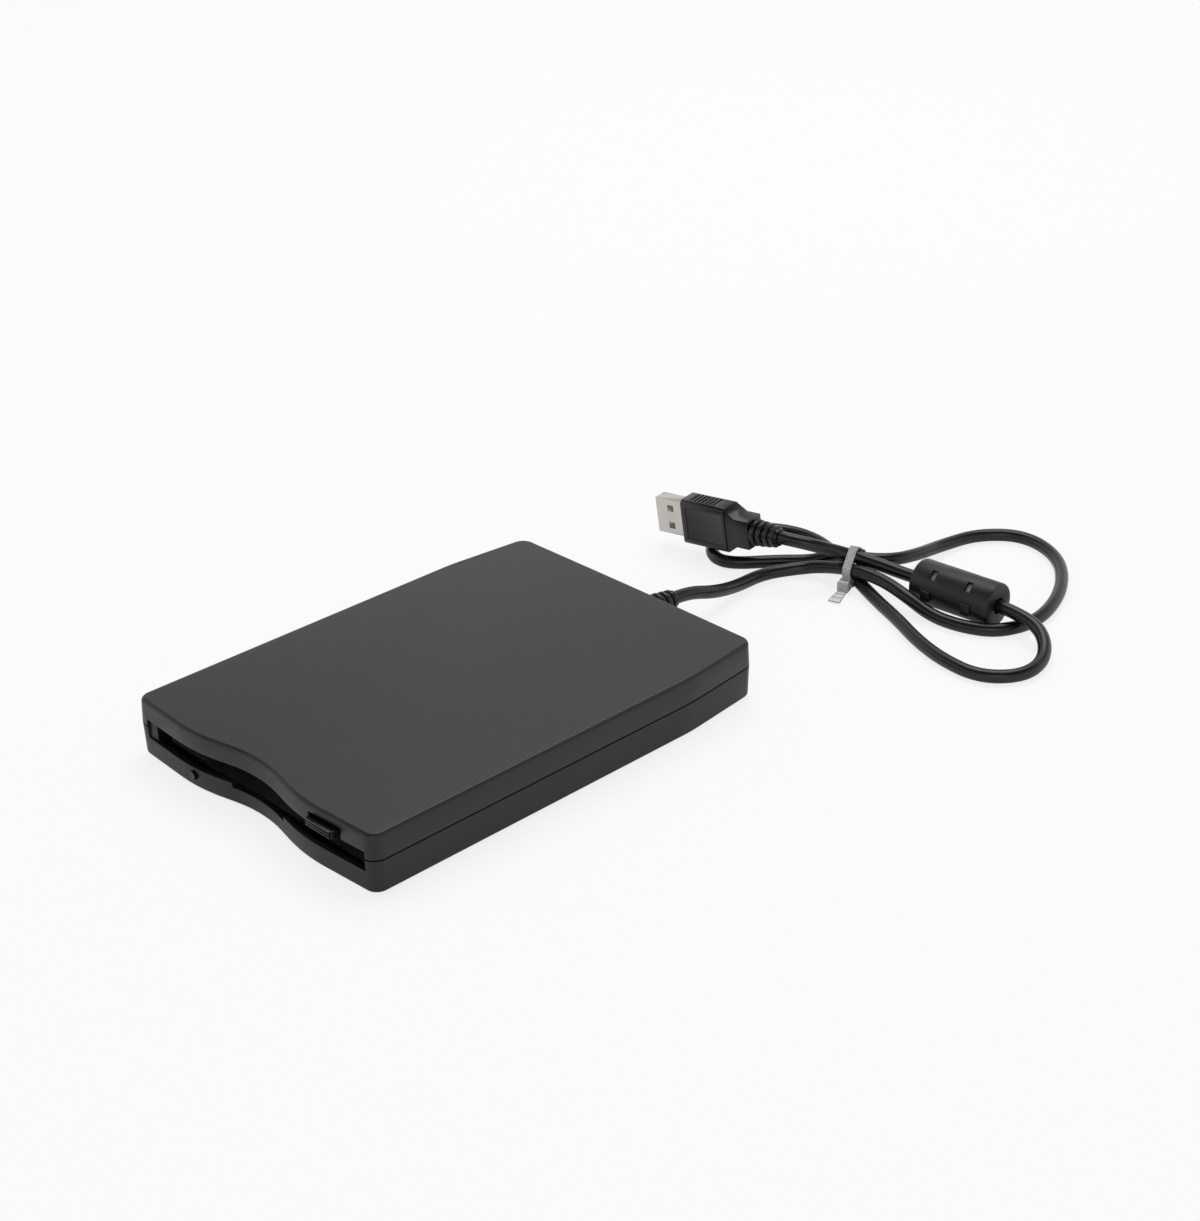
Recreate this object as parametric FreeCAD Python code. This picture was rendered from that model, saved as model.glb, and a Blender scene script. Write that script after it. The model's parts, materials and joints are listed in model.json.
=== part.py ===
import FreeCAD, Part
import math
import os

# External 3.5 inch floppy disk drive with a captive cord. Millimetres, +Z up, the front faces -Y.
# The origin is on the surface that the drive stands on, below the middle of its case.

V = FreeCAD.Vector
along_x = V(1, 0, 0)
along_y = V(0, 1, 0)
along_z = V(0, 0, 1)
os.makedirs("parts", exist_ok=True)

# The disk that the drive takes
disk_width = 90.0
disk_thickness = 3.3
disk_side_play = 0.3
disk_top_play = 0.9
media_radius_outer_track = 39.5

# Case
case_width = 103.0
case_length = 143.0
case_height = 17.4
foot_stand = 0.6
seam_height = 9.85
seam_gap = 0.4
side_draft = 0.35
shell_wall = 1.6
shell_floor = 1.6
shell_roof = 1.5
top_edge_round = 1.2
bottom_edge_round = 1.0
front_corner_round = 4.0
back_corner_round = 4.5
side_straight_end = 43.0
rear_narrowing = 3.0
side_bend_round = 60.0
front_end_setback = 1.1
crest_x = 23.1
crest_round = 60.0
crest_overshoot = 0.5
dip_depth = 4.8
dip_round = 46.0
back_bow = 0.35
back_bow_round = 2400.0
lip_thickness = 0.75
lip_height = 1.1
lip_clearance = 0.1

# Disk slot in the front
slot_left = -46.3
slot_right = 48.0
slot_below_seam = 3.55
slot_above_seam = 2.15
slot_guide_width = 3.5
slot_guide_recess = 1.0
slot_guide_clearance = 0.2
notch_left = -10.4
notch_right = 13.0
notch_depth = 1.4

# Eject button
button_left = 27.2
button_width = 10.4
button_height = 2.05
button_gap_left = 0.4
button_gap_right = 1.7
button_gap_top = 1.0
button_slot_gap = 0.15
button_proud = 1.3
button_depth = 7.0
button_edge_round = 0.35
button_lip_height = 0.5
button_lip_proud = 0.25
button_lip_inset = 0.6
groove_end_inset = 0.8
grip_groove_pitch = 1.1
grip_groove_radius = 0.25
button_travel = 5.0

# Activity light
led_x = -24.6
led_height = 3.8
lens_radius = 1.3
lens_flange_radius = 1.8
lens_flange_length = 0.8
lens_dome = 0.3
lens_seat = 2.15
hole_clearance = 0.1

# Feet and screws below
foot_radius = 4.0
foot_pocket = 0.4
front_foot_x = 38.0
front_foot_y = -58.0
rear_foot_x = 36.0
rear_foot_y = 54.0
case_screw_x = 42.0
case_screw_y = 65.0
boss_radius = 3.0
screw_radius = 1.25
screw_head_radius = 2.3
screw_head_height = 1.5
screw_hole_clearance = 0.15
case_screw_seat = 5.2
case_screw_reach = 13.0
drive_screw_seat = 2.4
drive_screw_bite = 1.4
front_drive_screw_y = -48.0
rear_drive_screw_y = 40.0
drive_screw_inset = 5.2

# Drive unit: circuit board, chassis and cover
drive_front = -65.2
drive_length = 126.0
drive_lift = 0.7
board_thickness = 0.9
board_gap = 0.1
chassis_floor = 0.7
chassis_wall = 0.6
cover_sheet = 0.5
cover_height = 12.95
rear_step_y = 38.0
rear_step = 3.2
rear_step_run = 3.0
board_inset = 0.6
board_post_play = 0.4
shaft_play_in_board = 0.6
under_chip_height = 0.6
controller_chip = (-4.0, 8.0, -60.0, -50.0)
motor_chip = (-34.0, -22.0, 36.0, 48.0)
driver_chip = (24.0, 33.0, 8.0, 20.0)
light_half_width = 1.4
light_length = 1.6
light_height = 1.4
light_notch_half = 2.0
light_notch_depth = 3.0
socket_play = 0.4
rear_window = (-34.0, 40.0, 9.0, 14.0)
middle_window = (-8.0, 34.0, 16.0, 9.0)
cover_window_half = 13.0
cover_window_front = -52.0
cover_window_rear = -34.0
spring_tab_drop = 0.8

# Disk cradle
cradle_sheet = 0.5
cradle_flange = 8.3
cradle_flange_sheet = 0.6
cradle_clearance = 0.3
cradle_floor_height = 8.0
cradle_drop = 1.6
cradle_front = -62.5
cradle_rear = 30.3
arm_window_half = 8.0
arm_window_front = 2.0
cam_front_y = -46.0
cam_rear_y = 16.0
cam_pin_radius = 0.35
cam_pin_height = 14.5
cam_slot_clearance = 0.05
cam_tab_length = 11.0
cam_tab_sheet = 0.6
ear_half = 1.2
ear_sheet = 0.5
ear_gap = 0.3
ear_notch_margin = 0.4
ear_top_margin = 0.15
cam_tab_lift = 0.05
cam_tab_top_margin = 0.25
cam_pin_overhang = 0.2
cam_notch_end_play = 0.3
cam_notch_side_play = 0.15
plunger_hole_play = 0.8
lever_post_play = 0.1
lever_post_cap = 0.4
lever_track_play = 0.4

# Eject slider
slider_sheet = 0.5
slider_height = 13.7
slider_front = -60.0
slider_bar = 8.0
slider_strip = 6.0
slider_rear = 26.0
tongue_width = 6.0
tongue_clearance = 0.1
slider_spring_length = 10.0
slider_spring_radius = 0.9
spring_wire_radius = 0.18
spring_turns = 5
spring_tab_half = 1.6
spring_tab_sheet = 0.6
spring_seat_gap = 0.1

# Spindle
spindle_y = -17.0
rotor_radius = 19.5
rotor_sheet = 0.5
rotor_top = 5.6
rotor_rim = 0.6
rotor_rim_bottom = 4.0
rotor_hole_clearance = 0.8
magnet_thickness = 1.6
magnet_clearance = 0.1
chuck_radius = 11.0
chuck_height = 0.5
spigot_radius = 1.95
spigot_top = 7.6
shaft_radius = 1.0
shaft_bottom = 3.0
bearing_radius = 3.0
bearing_top = 4.95
running_clearance = 0.05
drive_pin_offset = 8.0
drive_pin_radius = 1.1
drive_pin_rise = 0.9
stator_outer = 16.6
stator_ring_outer = 8.0
stator_inner = 5.6
stator_bottom = 4.1
rotor_vent_count = 3
rotor_vent_place = 14.5
rotor_vent_radius = 1.6
rotor_vent_start = 60.0
pin_window_play = 0.5
stator_thickness = 0.6
tooth_count = 9
tooth_width = 2.2
tooth_tip_length = 1.4
tooth_tip_width = 7.0
coil_width = 4.2
coil_length = 5.4
coil_wall = 0.2
coil_start_gap = 0.6
tooth_root_overlap = 0.4

# Head carriage, its rods and its motor
head_width = 4.4
head_length = 5.0
lower_arm_bottom = 4.9
lower_arm_thickness = 0.8
lower_head_top = 7.9
carriage_front = 46.5
carriage_rear = 58.5
carriage_left = 17.0
carriage_right = 15.0
carriage_bottom = 5.0
carriage_top = 9.3
rod_height = 7.2
rod_radius = 1.5
left_rod_offset = 13.0
right_rod_offset = 11.0
rod_front = 30.6
rod_tab_sheet = 0.8
rod_tab_half = 2.6
rod_tab_top = 9.4
arm_root_half = 6.0
arm_tip_half = 3.6
arm_thickness = 0.8
arm_bottom = 10.0
arm_pivot_y = 56.0
arm_front = 19.5
arm_lift = 6.5
upper_head_gap = 0.1
pivot_pin_radius = 0.6
knuckle_radius = 1.0
hinge_ear_thickness = 1.2
hinge_ear_gap = 0.2
screw_offset = 22.0
motor_radius = 4.5
motor_height = 9.3
motor_front = 50.6
motor_length = 9.0
lead_screw_radius = 1.4
lead_screw_front = 31.7
journal_radius = 0.75
bracket_sheet = 0.6
bracket_half = 5.2
follower_front = 47.4
follower_length = 2.2
follower_bottom = 7.0
zero_sensor_offset = 21.2
carriage_hollow_half = 8.0
carriage_front_wall = 3.0
carriage_rear_wall = 4.5
carriage_floor = 1.2
arm_root_length = 3.0
arm_root_height = 2.5
flag_overhang = 1.2
flag_bottom = 7.4
flag_top = 8.2
flag_length = 2.0
hinge_ear_half = 1.8
hinge_ear_rise = 1.6
open_bearing_front = 3.6
thread_clearance = 0.1
lower_gimbal_half_width = 0.7
lower_gimbal_half_length = 0.6
upper_gimbal_half_length = 0.55
gimbal_sheet = 0.4
arm_window_half_width = 2.4
arm_window_from_head = 7.0
arm_window_from_pivot = 8.0
leaf_half_width = 2.2
leaf_length = 14.0
leaf_root = 2.5
leaf_sheet = 0.25
leaf_gap = 0.05
nose_half = 2.6
nose_rise = 2.4
nose_clearance = 0.3
bracket_window_right = 3.4
bracket_window_margin = 6.0
screw_hole_play = 0.4
motor_bearing_depth = 1.4
screw_tail = 1.3
terminal_half = 2.5
terminal_front = 3.0
terminal_rear = 7.0
zero_sensor_left = 2.4
zero_sensor_right = 3.0
zero_sensor_front = 5.5
zero_sensor_rear = 0.5
zero_sensor_top = 9.6
zero_gap_left = 0.6
zero_gap_bottom = 6.9
zero_gap_top = 8.7

# Disk shutter lever
lever_pivot_offset = -29.0
lever_pivot_y = 27.0
lever_length = 20.0
lever_height = 12.95
lever_sheet = 0.6
lever_hub_radius = 3.0
lever_tip_radius = 1.9
lever_web_share = 0.9
lever_pin_radius = 1.2
lever_pin_bottom = 9.0
lever_post_radius = 1.1
lever_post_head = 1.8
lever_rest_angle = -75.0
lever_swing = 75.0

# Sensor switches
sensor_y = -57.0
write_sensor_offset = -40.0
density_sensor_offset = 40.0
disk_sensor_offset = -31.0
sensor_body_half = 2.2
sensor_body_top = 5.7
plunger_radius = 0.7
plunger_top = 7.4
plunger_foot = 4.6
plunger_clearance = 0.1
plunger_bore_depth = 1.2
plunger_lift = 0.4
plunger_round = 0.3

# Bridge board behind the drive
bridge_front = 61.9
bridge_rear = 69.0
bridge_left = -38.5
bridge_right = 20.0
connector_x = -30.0
connector_width = 14.0
connector_height = 3.0
connector_depth = 4.5
connector_overhang = 0.4
connector_wall = 0.9
mouth_depth = 3.0
blade_play = 0.1
blade_length = 2.6
plug_body_front = 0.7
plug_body_rear = 3.2
bridge_chip_place = (-14.0, -7.0, 0.6, 6.4, 1.1)
crystal_place = (-20.5, -17.0, 2.0, 6.0, 1.2)
capacitor_x = 11.5
capacitor_y = 3.6
capacitor_height = 4.2
capacitor_radius = 2.0
header_half = 3.4
header_front = 1.6
header_rear = 1.4

# Cord and its strain relief
cord_diameter = 4.1
cord_x = 3.5
cord_height = 10.4
relief_neck_radius = 3.1
relief_flange_radius = 4.4
relief_flange_length = 1.6
relief_clearance = 0.05
relief_collar = 1.8
relief_collar_radius = 4.2
relief_root_radius = 3.4
relief_tip_radius = 2.6
relief_end_y = 83.9
relief_rib_pitch = 2.6
relief_groove_width = 1.0
relief_groove_depth = 0.5
lead_radius = 0.35
lead_pitch = 1.0
lead_bend = 3.2
lead_count = 4
relief_inner_clearance = 0.4
relief_groove_lift = 0.2
arc_share = 0.45

# Route of the cord: points chosen by hand, from the strain relief to the plug
cord_route = [
    (3.5, 84.0, 10.4),
    (3.6, 90.4, 10.1),
    (4.4, 100.5, 6.7),
    (2.0, 113.0, 3.2),
    (0.4, 127.0, 2.1),
    (6.3, 137.5, 2.3),
    (13.2, 140.8, 4.1),
    (24.6, 141.4, 6.9),
    (35.4, 142.4, 6.8),
    (46.5, 140.5, 5.9),
    (56.5, 140.9, 2.3),
    (67.5, 142.2, 2.1),
    (77.5, 147.5, 2.1),
    (81.5, 162.0, 2.1),
    (74.2, 183.0, 2.1),
    (60.5, 200.0, 2.1),
    (43.0, 205.8, 2.1),
    (31.0, 196.0, 2.1),
    (28.2, 180.0, 2.5),
    (29.6, 167.0, 4.6),
    (28.8, 156.0, 6.3),
    (21.6, 149.4, 6.6),
    (14.0, 146.6, 6.9),
    (7.0, 144.1, 2.7),
    (-2.6, 136.6, 2.1),
    (-12.0, 124.9, 2.1),
    (-19.8, 124.9, 2.1),
    (-27.2, 133.0, 2.1),
    (-28.0, 144.0, 2.1),
    (-21.2, 152.4, 2.1),
    (-10.5, 157.2, 2.1),
    (1.0, 156.2, 2.1),
    (11.0, 150.6, 2.3),
    (24.2, 143.6, 2.8),
    (36.5, 138.2, 2.1),
    (50.5, 132.4, 2.1),
    (63.0, 126.2, 2.1),
    (76.0, 122.0, 2.1),
    (90.0, 121.2, 2.1),
    (99.0, 130.5, 2.1),
    (97.8, 142.6, 2.5),
    (89.6, 151.6, 5.6),
    (77.8, 153.25, 7.0),
    (58.0, 151.6, 7.15),
    (38.1, 149.8, 7.0),
    (30.8, 147.6, 8.2),
    (20.4, 145.0, 9.2),
    (13.3, 130.9, 15.9),
    (4.84, 130.05, 15.05),
]

# Ferrite in its snap-on housing, around the straight stretch of the cord
ferrite_from = (77.8, 153.25, 7.0)
ferrite_to = (38.1, 149.8, 7.0)
ferrite_length = 29.0
ferrite_housing_radius = 6.9
ferrite_housing_wall = 1.3
ferrite_end_wall = 1.2
ferrite_core_radius = 5.4
ferrite_bore_clearance = 0.2
ferrite_window_length = 1.8
ferrite_window_width = 3.2
ferrite_window_spacing = 12.5
ferrite_latch_length = 6.0
ferrite_latch_height = 3.0
ferrite_latch_proud = 0.9
ferrite_split_gap = 0.15
ferrite_window_rise = 2.6
ferrite_rim_round = 0.9
ferrite_cord_play = 0.6
latch_root = 0.6
latch_top = 1.6
latch_bridge_bottom = 0.8
latch_bridge_depth = 0.9
latch_bridge_overlap = 0.2
latch_play = 0.1
core_end_play = 0.1
core_split = 0.06

# Tie round the middle of the hank: where the strands cross it, as (sideways, height)
tie_x = 22.0
tie_y = 145.5
tie_heading = 20.0
tie_strands = [(-3.2, 2.75), (1.6, 2.75), (4.3, 6.65), (-0.7, 9.85), (-4.8, 6.45)]
tie_clearance = 0.2
tie_thickness = 0.45
tie_band = 2.6
tie_head_width = 3.4
tie_head_left = -9.4
tie_head_right = -5.7
tie_head_bottom = 0.6
tie_head_height = 3.2
tie_head_forward = 0.35
tie_tail_end = -16.5
tie_tail_bottom = 0.5
tie_tail_thickness = 0.7
tie_tail_flare = 3.8
tie_tail_overlap = 0.5

# Plug
plug_x = -30.8
plug_y = 126.3
plug_z = 11.6
plug_heading = 6.0
plug_pitch = 5.5
plug_roll = -3.0
plug_shell_width = 12.0
plug_shell_thickness = 4.5
plug_shell_sheet = 0.3
plug_shell_reach = 11.6
plug_shell_root = 4.0
plug_window_length = 2.3
plug_window_width = 2.1
plug_window_x = -5.8
plug_window_offset = 3.0
plug_tongue_thickness = 1.9
plug_tongue_inset = 0.5
contact_width = 1.0
contact_pitch = 2.3
contact_thickness = 0.15
contact_count = 4
contact_setback = 1.4
grip_width = 15.4
grip_thickness = 8.0
grip_length = 17.2
grip_edge_round = 1.6
grip_shoulder = 3.8
grip_neck_end = 26.0
grip_neck_width = 9.6
grip_neck_thickness = 7.2
grip_groove_count = 7
grip_ridge_pitch = 1.5
grip_ridge_start = 3.0
grip_ridge_depth = 0.35
grip_panel_depth = 0.25
grip_panel_front = 1.8
grip_panel_rear = 1.2
grip_panel_side = 2.4
shoulder_step = 0.5
shell_seat_play = 0.05
shell_seat_fit = 0.02
sleeve_groove_count = 3
sleeve_groove_start = 1.7
sleeve_groove_pitch = 2.1
sleeve_groove_radius = 0.5
sleeve_groove_lift = 0.15
plug_relief_length = 10.0
plug_relief_root = 3.4
plug_relief_tip = 2.7

# Heights and places that follow from the sizes above
case_bottom = foot_stand
case_top = case_bottom + case_height
seam_z = case_bottom + seam_height
floor_top = case_bottom + shell_floor
roof_under = case_top - shell_roof
front_y = -case_length / 2
back_y = case_length / 2
slot_bottom = seam_z - slot_below_seam
slot_top = seam_z + slot_above_seam
guide_right = slot_left + slot_guide_width
disk_x = (guide_right + slot_right) / 2
board_bottom = floor_top + drive_lift
board_top = board_bottom + board_thickness
chassis_bottom = board_top + board_gap
chassis_top = chassis_bottom + chassis_floor
cover_top = board_bottom + cover_height
cover_under = cover_top - cover_sheet
drive_rear = drive_front + drive_length
cradle_inner = disk_width / 2 + disk_side_play
cradle_outer = cradle_inner + cradle_sheet
chassis_inner = cradle_outer + cradle_clearance
chassis_outer = chassis_inner + chassis_wall
cradle_ceiling = cradle_floor_height + disk_thickness + disk_top_play
cradle_top = cradle_ceiling + cradle_flange_sheet
tab_outer = chassis_inner - ear_gap - cradle_sheet
tab_inner = tab_outer - cam_tab_sheet
head_y = spindle_y + media_radius_outer_track
button_bottom = slot_top + button_slot_gap
button_right = button_left + button_width
button_middle = (button_left + button_right) / 2
rotor_hole = rotor_radius + rotor_hole_clearance
cord_radius = cord_diameter / 2
screw_x = disk_x + screw_offset


def box(x0, x1, y0, y1, z0, z1):
    return Part.makeBox(x1 - x0, y1 - y0, z1 - z0, V(x0, y0, z0))


def disc(x, y, z0, z1, radius):
    return Part.makeCylinder(radius, z1 - z0, V(x, y, z0), along_z)


def bar_y(x, z, y0, y1, radius):
    return Part.makeCylinder(radius, y1 - y0, V(x, y0, z), along_y)


def bar_x(y, z, x0, x1, radius):
    return Part.makeCylinder(radius, x1 - x0, V(x0, y, z), along_x)


def tube_z(x, y, z0, z1, outer, inner):
    return disc(x, y, z0, z1, outer).cut(disc(x, y, z0, z1, inner))


def plate(points, z0, z1):
    wire = Part.makePolygon([V(x, y, z0) for x, y in points + points[:1]])
    return Part.Face(wire).extrude(V(0, 0, z1 - z0))


def join(solids):
    whole = solids[0]
    if len(solids) > 1:
        whole = whole.fuse(solids[1:])
    return whole.removeSplitter()


def group(solids):
    return Part.makeCompound(solids)


def save(name, shape):
    shape.exportStep("parts/" + name + ".step")


def rounded_wire(corners, z):
    """A closed wire through (x, y, radius) corners, each rounded by a tangent arc."""
    starts = []
    mids = []
    ends = []
    for i, (x, y, radius) in enumerate(corners):
        before = corners[i - 1]
        after = corners[(i + 1) % len(corners)]
        corner = V(x, y, z)
        back = V(before[0] - x, before[1] - y, 0).normalize()
        ahead = V(after[0] - x, after[1] - y, 0).normalize()
        half = back.getAngle(ahead) / 2
        reach = radius / math.tan(half)
        inward = (back + ahead).normalize()
        starts.append(corner + back * reach)
        mids.append(corner + inward * (radius / math.sin(half) - radius))
        ends.append(corner + ahead * reach)
    edges = []
    for i in range(len(corners)):
        edges.append(Part.Arc(starts[i], mids[i], ends[i]).toShape())
        following = starts[(i + 1) % len(corners)]
        edges.append(Part.LineSegment(ends[i], following).toShape())
    return Part.Wire(edges)


def inset_corners(corners, inset):
    """The same corners moved inwards, for a polygon that runs counter-clockwise."""
    moved = []
    for i, (x, y, radius) in enumerate(corners):
        before = corners[i - 1]
        after = corners[(i + 1) % len(corners)]
        arrive = V(x - before[0], y - before[1], 0).normalize()
        leave = V(after[0] - x, after[1] - y, 0).normalize()
        arrive_in = V(-arrive.y, arrive.x, 0)
        leave_in = V(-leave.y, leave.x, 0)
        shift = (arrive_in + leave_in) * (inset / (1 + arrive_in.dot(leave_in)))
        turn = arrive.x * leave.y - arrive.y * leave.x
        grown = radius - inset if turn > 0 else radius + inset
        moved.append((x + shift.x, y + shift.y, grown))
    return moved


def case_corners():
    """Plan outline of the case at its seam: a wavy front, straight sides and a narrower back."""
    half = case_width / 2
    rear_half = half - rear_narrowing
    end_y = front_y + front_end_setback
    crest_y = front_y - crest_overshoot
    dip_y = front_y + dip_depth
    corner_y = back_y - back_bow
    return [
        (-half, end_y, front_corner_round),
        (-crest_x, crest_y, crest_round),
        (0, dip_y, dip_round),
        (crest_x, crest_y, crest_round),
        (half, end_y, front_corner_round),
        (half, side_straight_end, side_bend_round),
        (rear_half, corner_y, back_corner_round),
        (0, back_y, back_bow_round),
        (-rear_half, corner_y, back_corner_round),
        (-half, side_straight_end, side_bend_round),
    ]


def case_wire(inset, z):
    return rounded_wire(inset_corners(case_corners(), inset), z)


def case_block(inset0, z0, inset1, z1):
    return Part.makeLoft([case_wire(inset0, z0), case_wire(inset1, z1)], True, True)


def round_edges_at(shape, z, radius):
    edges = [e for e in shape.Edges if abs(e.BoundBox.ZMin - z) < 0.001 and abs(e.BoundBox.ZMax - z) < 0.001]
    return shape.makeFillet(radius, edges)


def front_wall_y(x):
    """Where the front face stands at the seam, beside the corner and away from the crests."""
    end_y = front_y + front_end_setback
    crest_y = front_y - crest_overshoot
    share = (abs(x) - crest_x) / (case_width / 2 - crest_x)
    return crest_y + (end_y - crest_y) * share


def slot_cut(z0, z1):
    return box(slot_left, slot_right, front_y - shell_wall, drive_front, z0, z1)


def drive_screw_places():
    places = []
    for side in (-1, 1):
        for y in (front_drive_screw_y, rear_drive_screw_y):
            places.append((disk_x + side * (chassis_inner - drive_screw_inset), y))
    return places


def case_screw_places():
    return [(-case_screw_x, case_screw_y), (case_screw_x, case_screw_y)]


def foot_places():
    places = []
    for side in (-1, 1):
        places.append((side * front_foot_x, front_foot_y))
        places.append((side * rear_foot_x, rear_foot_y))
    return places


def lower_shell():
    rim = seam_z - seam_gap / 2
    body = case_block(side_draft, case_bottom, 0, rim)
    body = round_edges_at(body, case_bottom, bottom_edge_round)
    body = body.cut(case_block(side_draft + shell_wall, floor_top, shell_wall, rim + 1))
    lip_outer = case_block(shell_wall - lip_thickness, rim - 1, shell_wall - lip_thickness, rim + lip_height)
    lip = lip_outer.cut(case_block(shell_wall, rim - 2, shell_wall, rim + lip_height + 1))
    posts = []
    for x, y in drive_screw_places():
        posts.append(disc(x, y, case_bottom, chassis_bottom, boss_radius))
    for x, y in case_screw_places():
        posts.append(disc(x, y, case_bottom, rim, boss_radius))
    for x in (bridge_left + 4, bridge_right - 4):
        posts.append(disc(x, (bridge_front + bridge_rear) / 2, case_bottom, board_bottom, 2))
    body = join([body, lip] + posts)
    guide_y = front_wall_y(guide_right) + slot_guide_recess
    guide_top = slot_top - slot_guide_clearance
    guide = box(slot_left, guide_right, guide_y, drive_front - 1, slot_bottom - 1, guide_top)
    cuts = [slot_cut(slot_bottom, rim + lip_height + 1)]
    notch_z = slot_bottom - notch_depth
    cuts.append(box(notch_left, notch_right, front_y - shell_wall, drive_front, notch_z, slot_bottom + 1))
    lens_z = case_bottom + led_height
    cuts.append(bar_y(led_x, lens_z, front_y - 1, drive_front, lens_radius + hole_clearance))
    cuts.append(bar_y(cord_x, cord_height, back_y - shell_wall - 2, back_y + 1, relief_neck_radius))
    for x, y in foot_places():
        cuts.append(disc(x, y, case_bottom - 1, case_bottom + foot_pocket, foot_radius + hole_clearance))
    shank = screw_radius + screw_hole_clearance
    head = screw_head_radius + screw_hole_clearance
    for x, y in drive_screw_places():
        cuts.append(disc(x, y, 0, chassis_bottom + 1, shank))
        cuts.append(disc(x, y, 0, drive_screw_seat, head))
    for x, y in case_screw_places():
        cuts.append(disc(x, y, 0, rim + 1, shank))
        cuts.append(disc(x, y, 0, case_screw_seat, head))
    return body.cut(cuts).fuse(guide).removeSplitter()


def upper_shell():
    rim = seam_z + seam_gap / 2
    body = case_block(0, rim, side_draft, case_top)
    body = round_edges_at(body, case_top, top_edge_round)
    body = body.cut(case_block(shell_wall, rim - 1, side_draft + shell_wall, roof_under))
    posts = []
    for x, y in case_screw_places():
        posts.append(disc(x, y, rim, case_top - shell_roof / 2, boss_radius))
    body = join([body] + posts)
    groove_depth = shell_wall - lip_thickness - lip_clearance
    groove_top = seam_z - seam_gap / 2 + lip_height + lip_clearance
    groove = case_block(groove_depth, rim - 1, groove_depth, groove_top)
    bosses = join([disc(x, y, rim - 2, groove_top + 1, boss_radius) for x, y in case_screw_places()])
    cuts = [groove.cut(bosses)]
    cuts.append(slot_cut(rim - 1, slot_top))
    recess_left = button_left - button_gap_left
    recess_right = button_right + button_gap_right
    recess_top = button_bottom + button_height + button_gap_top
    cuts.append(box(recess_left, recess_right, front_y - shell_wall, drive_front - 1, slot_top - 1, recess_top))
    cuts.append(bar_y(cord_x, cord_height, back_y - shell_wall - 2, back_y + 1, relief_neck_radius))
    for x, y in case_screw_places():
        cuts.append(disc(x, y, rim - 1, case_screw_reach + 1, screw_radius))
    return body.cut(cuts).removeSplitter()


def rubber_feet():
    return group([disc(x, y, 0, case_bottom + foot_pocket, foot_radius) for x, y in foot_places()])


def screw(x, y, seat, tip):
    head = disc(x, y, seat - screw_head_height, seat, screw_head_radius)
    shank = disc(x, y, seat, tip, screw_radius)
    return join([head, shank])


def case_screws():
    return group([screw(x, y, case_screw_seat, case_screw_reach) for x, y in case_screw_places()])


def drive_screws():
    tip = chassis_bottom + drive_screw_bite
    return group([screw(x, y, drive_screw_seat, tip) for x, y in drive_screw_places()])


def led_lens():
    z = case_bottom + led_height
    front = front_wall_y(led_x) - lens_dome / 2
    inner = front_y + lens_seat
    stem = bar_y(led_x, z, front, inner + lens_flange_length, lens_radius)
    flange = bar_y(led_x, z, inner, inner + lens_flange_length, lens_flange_radius)
    return join([stem, flange])


def chassis_plan(inset):
    left = disk_x - chassis_outer + inset
    right = disk_x + chassis_outer - inset
    step = rear_step
    return [
        (left, drive_front + inset),
        (right, drive_front + inset),
        (right, rear_step_y),
        (right - step, rear_step_y + rear_step_run),
        (right - step, drive_rear - inset),
        (left + step, drive_rear - inset),
        (left + step, rear_step_y + rear_step_run),
        (left, rear_step_y),
    ]


def sensor_places():
    places = []
    for offset in (write_sensor_offset, density_sensor_offset, disk_sensor_offset):
        places.append((disk_x + offset, sensor_y))
    return places


def main_board():
    body = plate(chassis_plan(board_inset), board_bottom, board_top)
    cuts = [disc(x, y, 0, case_top, boss_radius + board_post_play) for x, y in drive_screw_places()]
    cuts.append(disc(disk_x, spindle_y, 0, case_top, shaft_radius + shaft_play_in_board))
    return body.cut(cuts)


def chip_below_board(x0, x1, y0, y1):
    return box(disk_x + x0, disk_x + x1, y0, y1, board_bottom - under_chip_height, board_bottom)


def board_parts():
    chips = [chip_below_board(*place) for place in (controller_chip, motor_chip, driver_chip)]
    light_front = drive_front + board_inset
    light = box(led_x - light_half_width, led_x + light_half_width, light_front, light_front + light_length,
                board_top, board_top + light_height)
    return group(chips + [light])


def chassis():
    body = plate(chassis_plan(0), chassis_bottom, cover_under)
    body = body.cut(plate(chassis_plan(chassis_wall), chassis_top, cover_under + 1))
    body = body.cut(box(disk_x - chassis_inner, disk_x + chassis_inner, drive_front - 1, drive_front + 2,
                        chassis_top, cover_under + 1))
    tabs = []
    for offset in (-left_rod_offset, right_rod_offset):
        x = disk_x + offset
        tabs.append(box(x - rod_tab_half, x + rod_tab_half, rod_front, rod_front + rod_tab_sheet,
                        chassis_bottom, rod_tab_top))
    body = join([body] + tabs)
    cuts = [disc(disk_x, spindle_y, 0, cover_under, rotor_hole)]
    for offset in (-left_rod_offset, right_rod_offset):
        cuts.append(bar_y(disk_x + offset, rod_height, rod_front - 1, drive_rear + 1, rod_radius))
    for x, y in drive_screw_places():
        cuts.append(disc(x, y, 0, cover_under, screw_radius))
    for x, y in sensor_places():
        half = sensor_body_half + hole_clearance
        cuts.append(box(x - half, x + half, y - half, y + half, 0, cover_under))
    cuts.append(box(led_x - light_notch_half, led_x + light_notch_half, drive_front - 1,
                    drive_front + light_notch_depth, 0, chassis_top + 1))
    half = connector_width / 2 + socket_play
    cuts.append(box(connector_x - half, connector_x + half, drive_rear - connector_depth - socket_play,
                    drive_rear + 1, chassis_bottom - 1, board_top + connector_height + socket_play))
    for x, y, width, length in (rear_window, middle_window):
        cuts.append(box(disk_x + x, disk_x + x + width, y, y + length, 0, chassis_top))
    return body.cut(cuts).removeSplitter()


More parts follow.
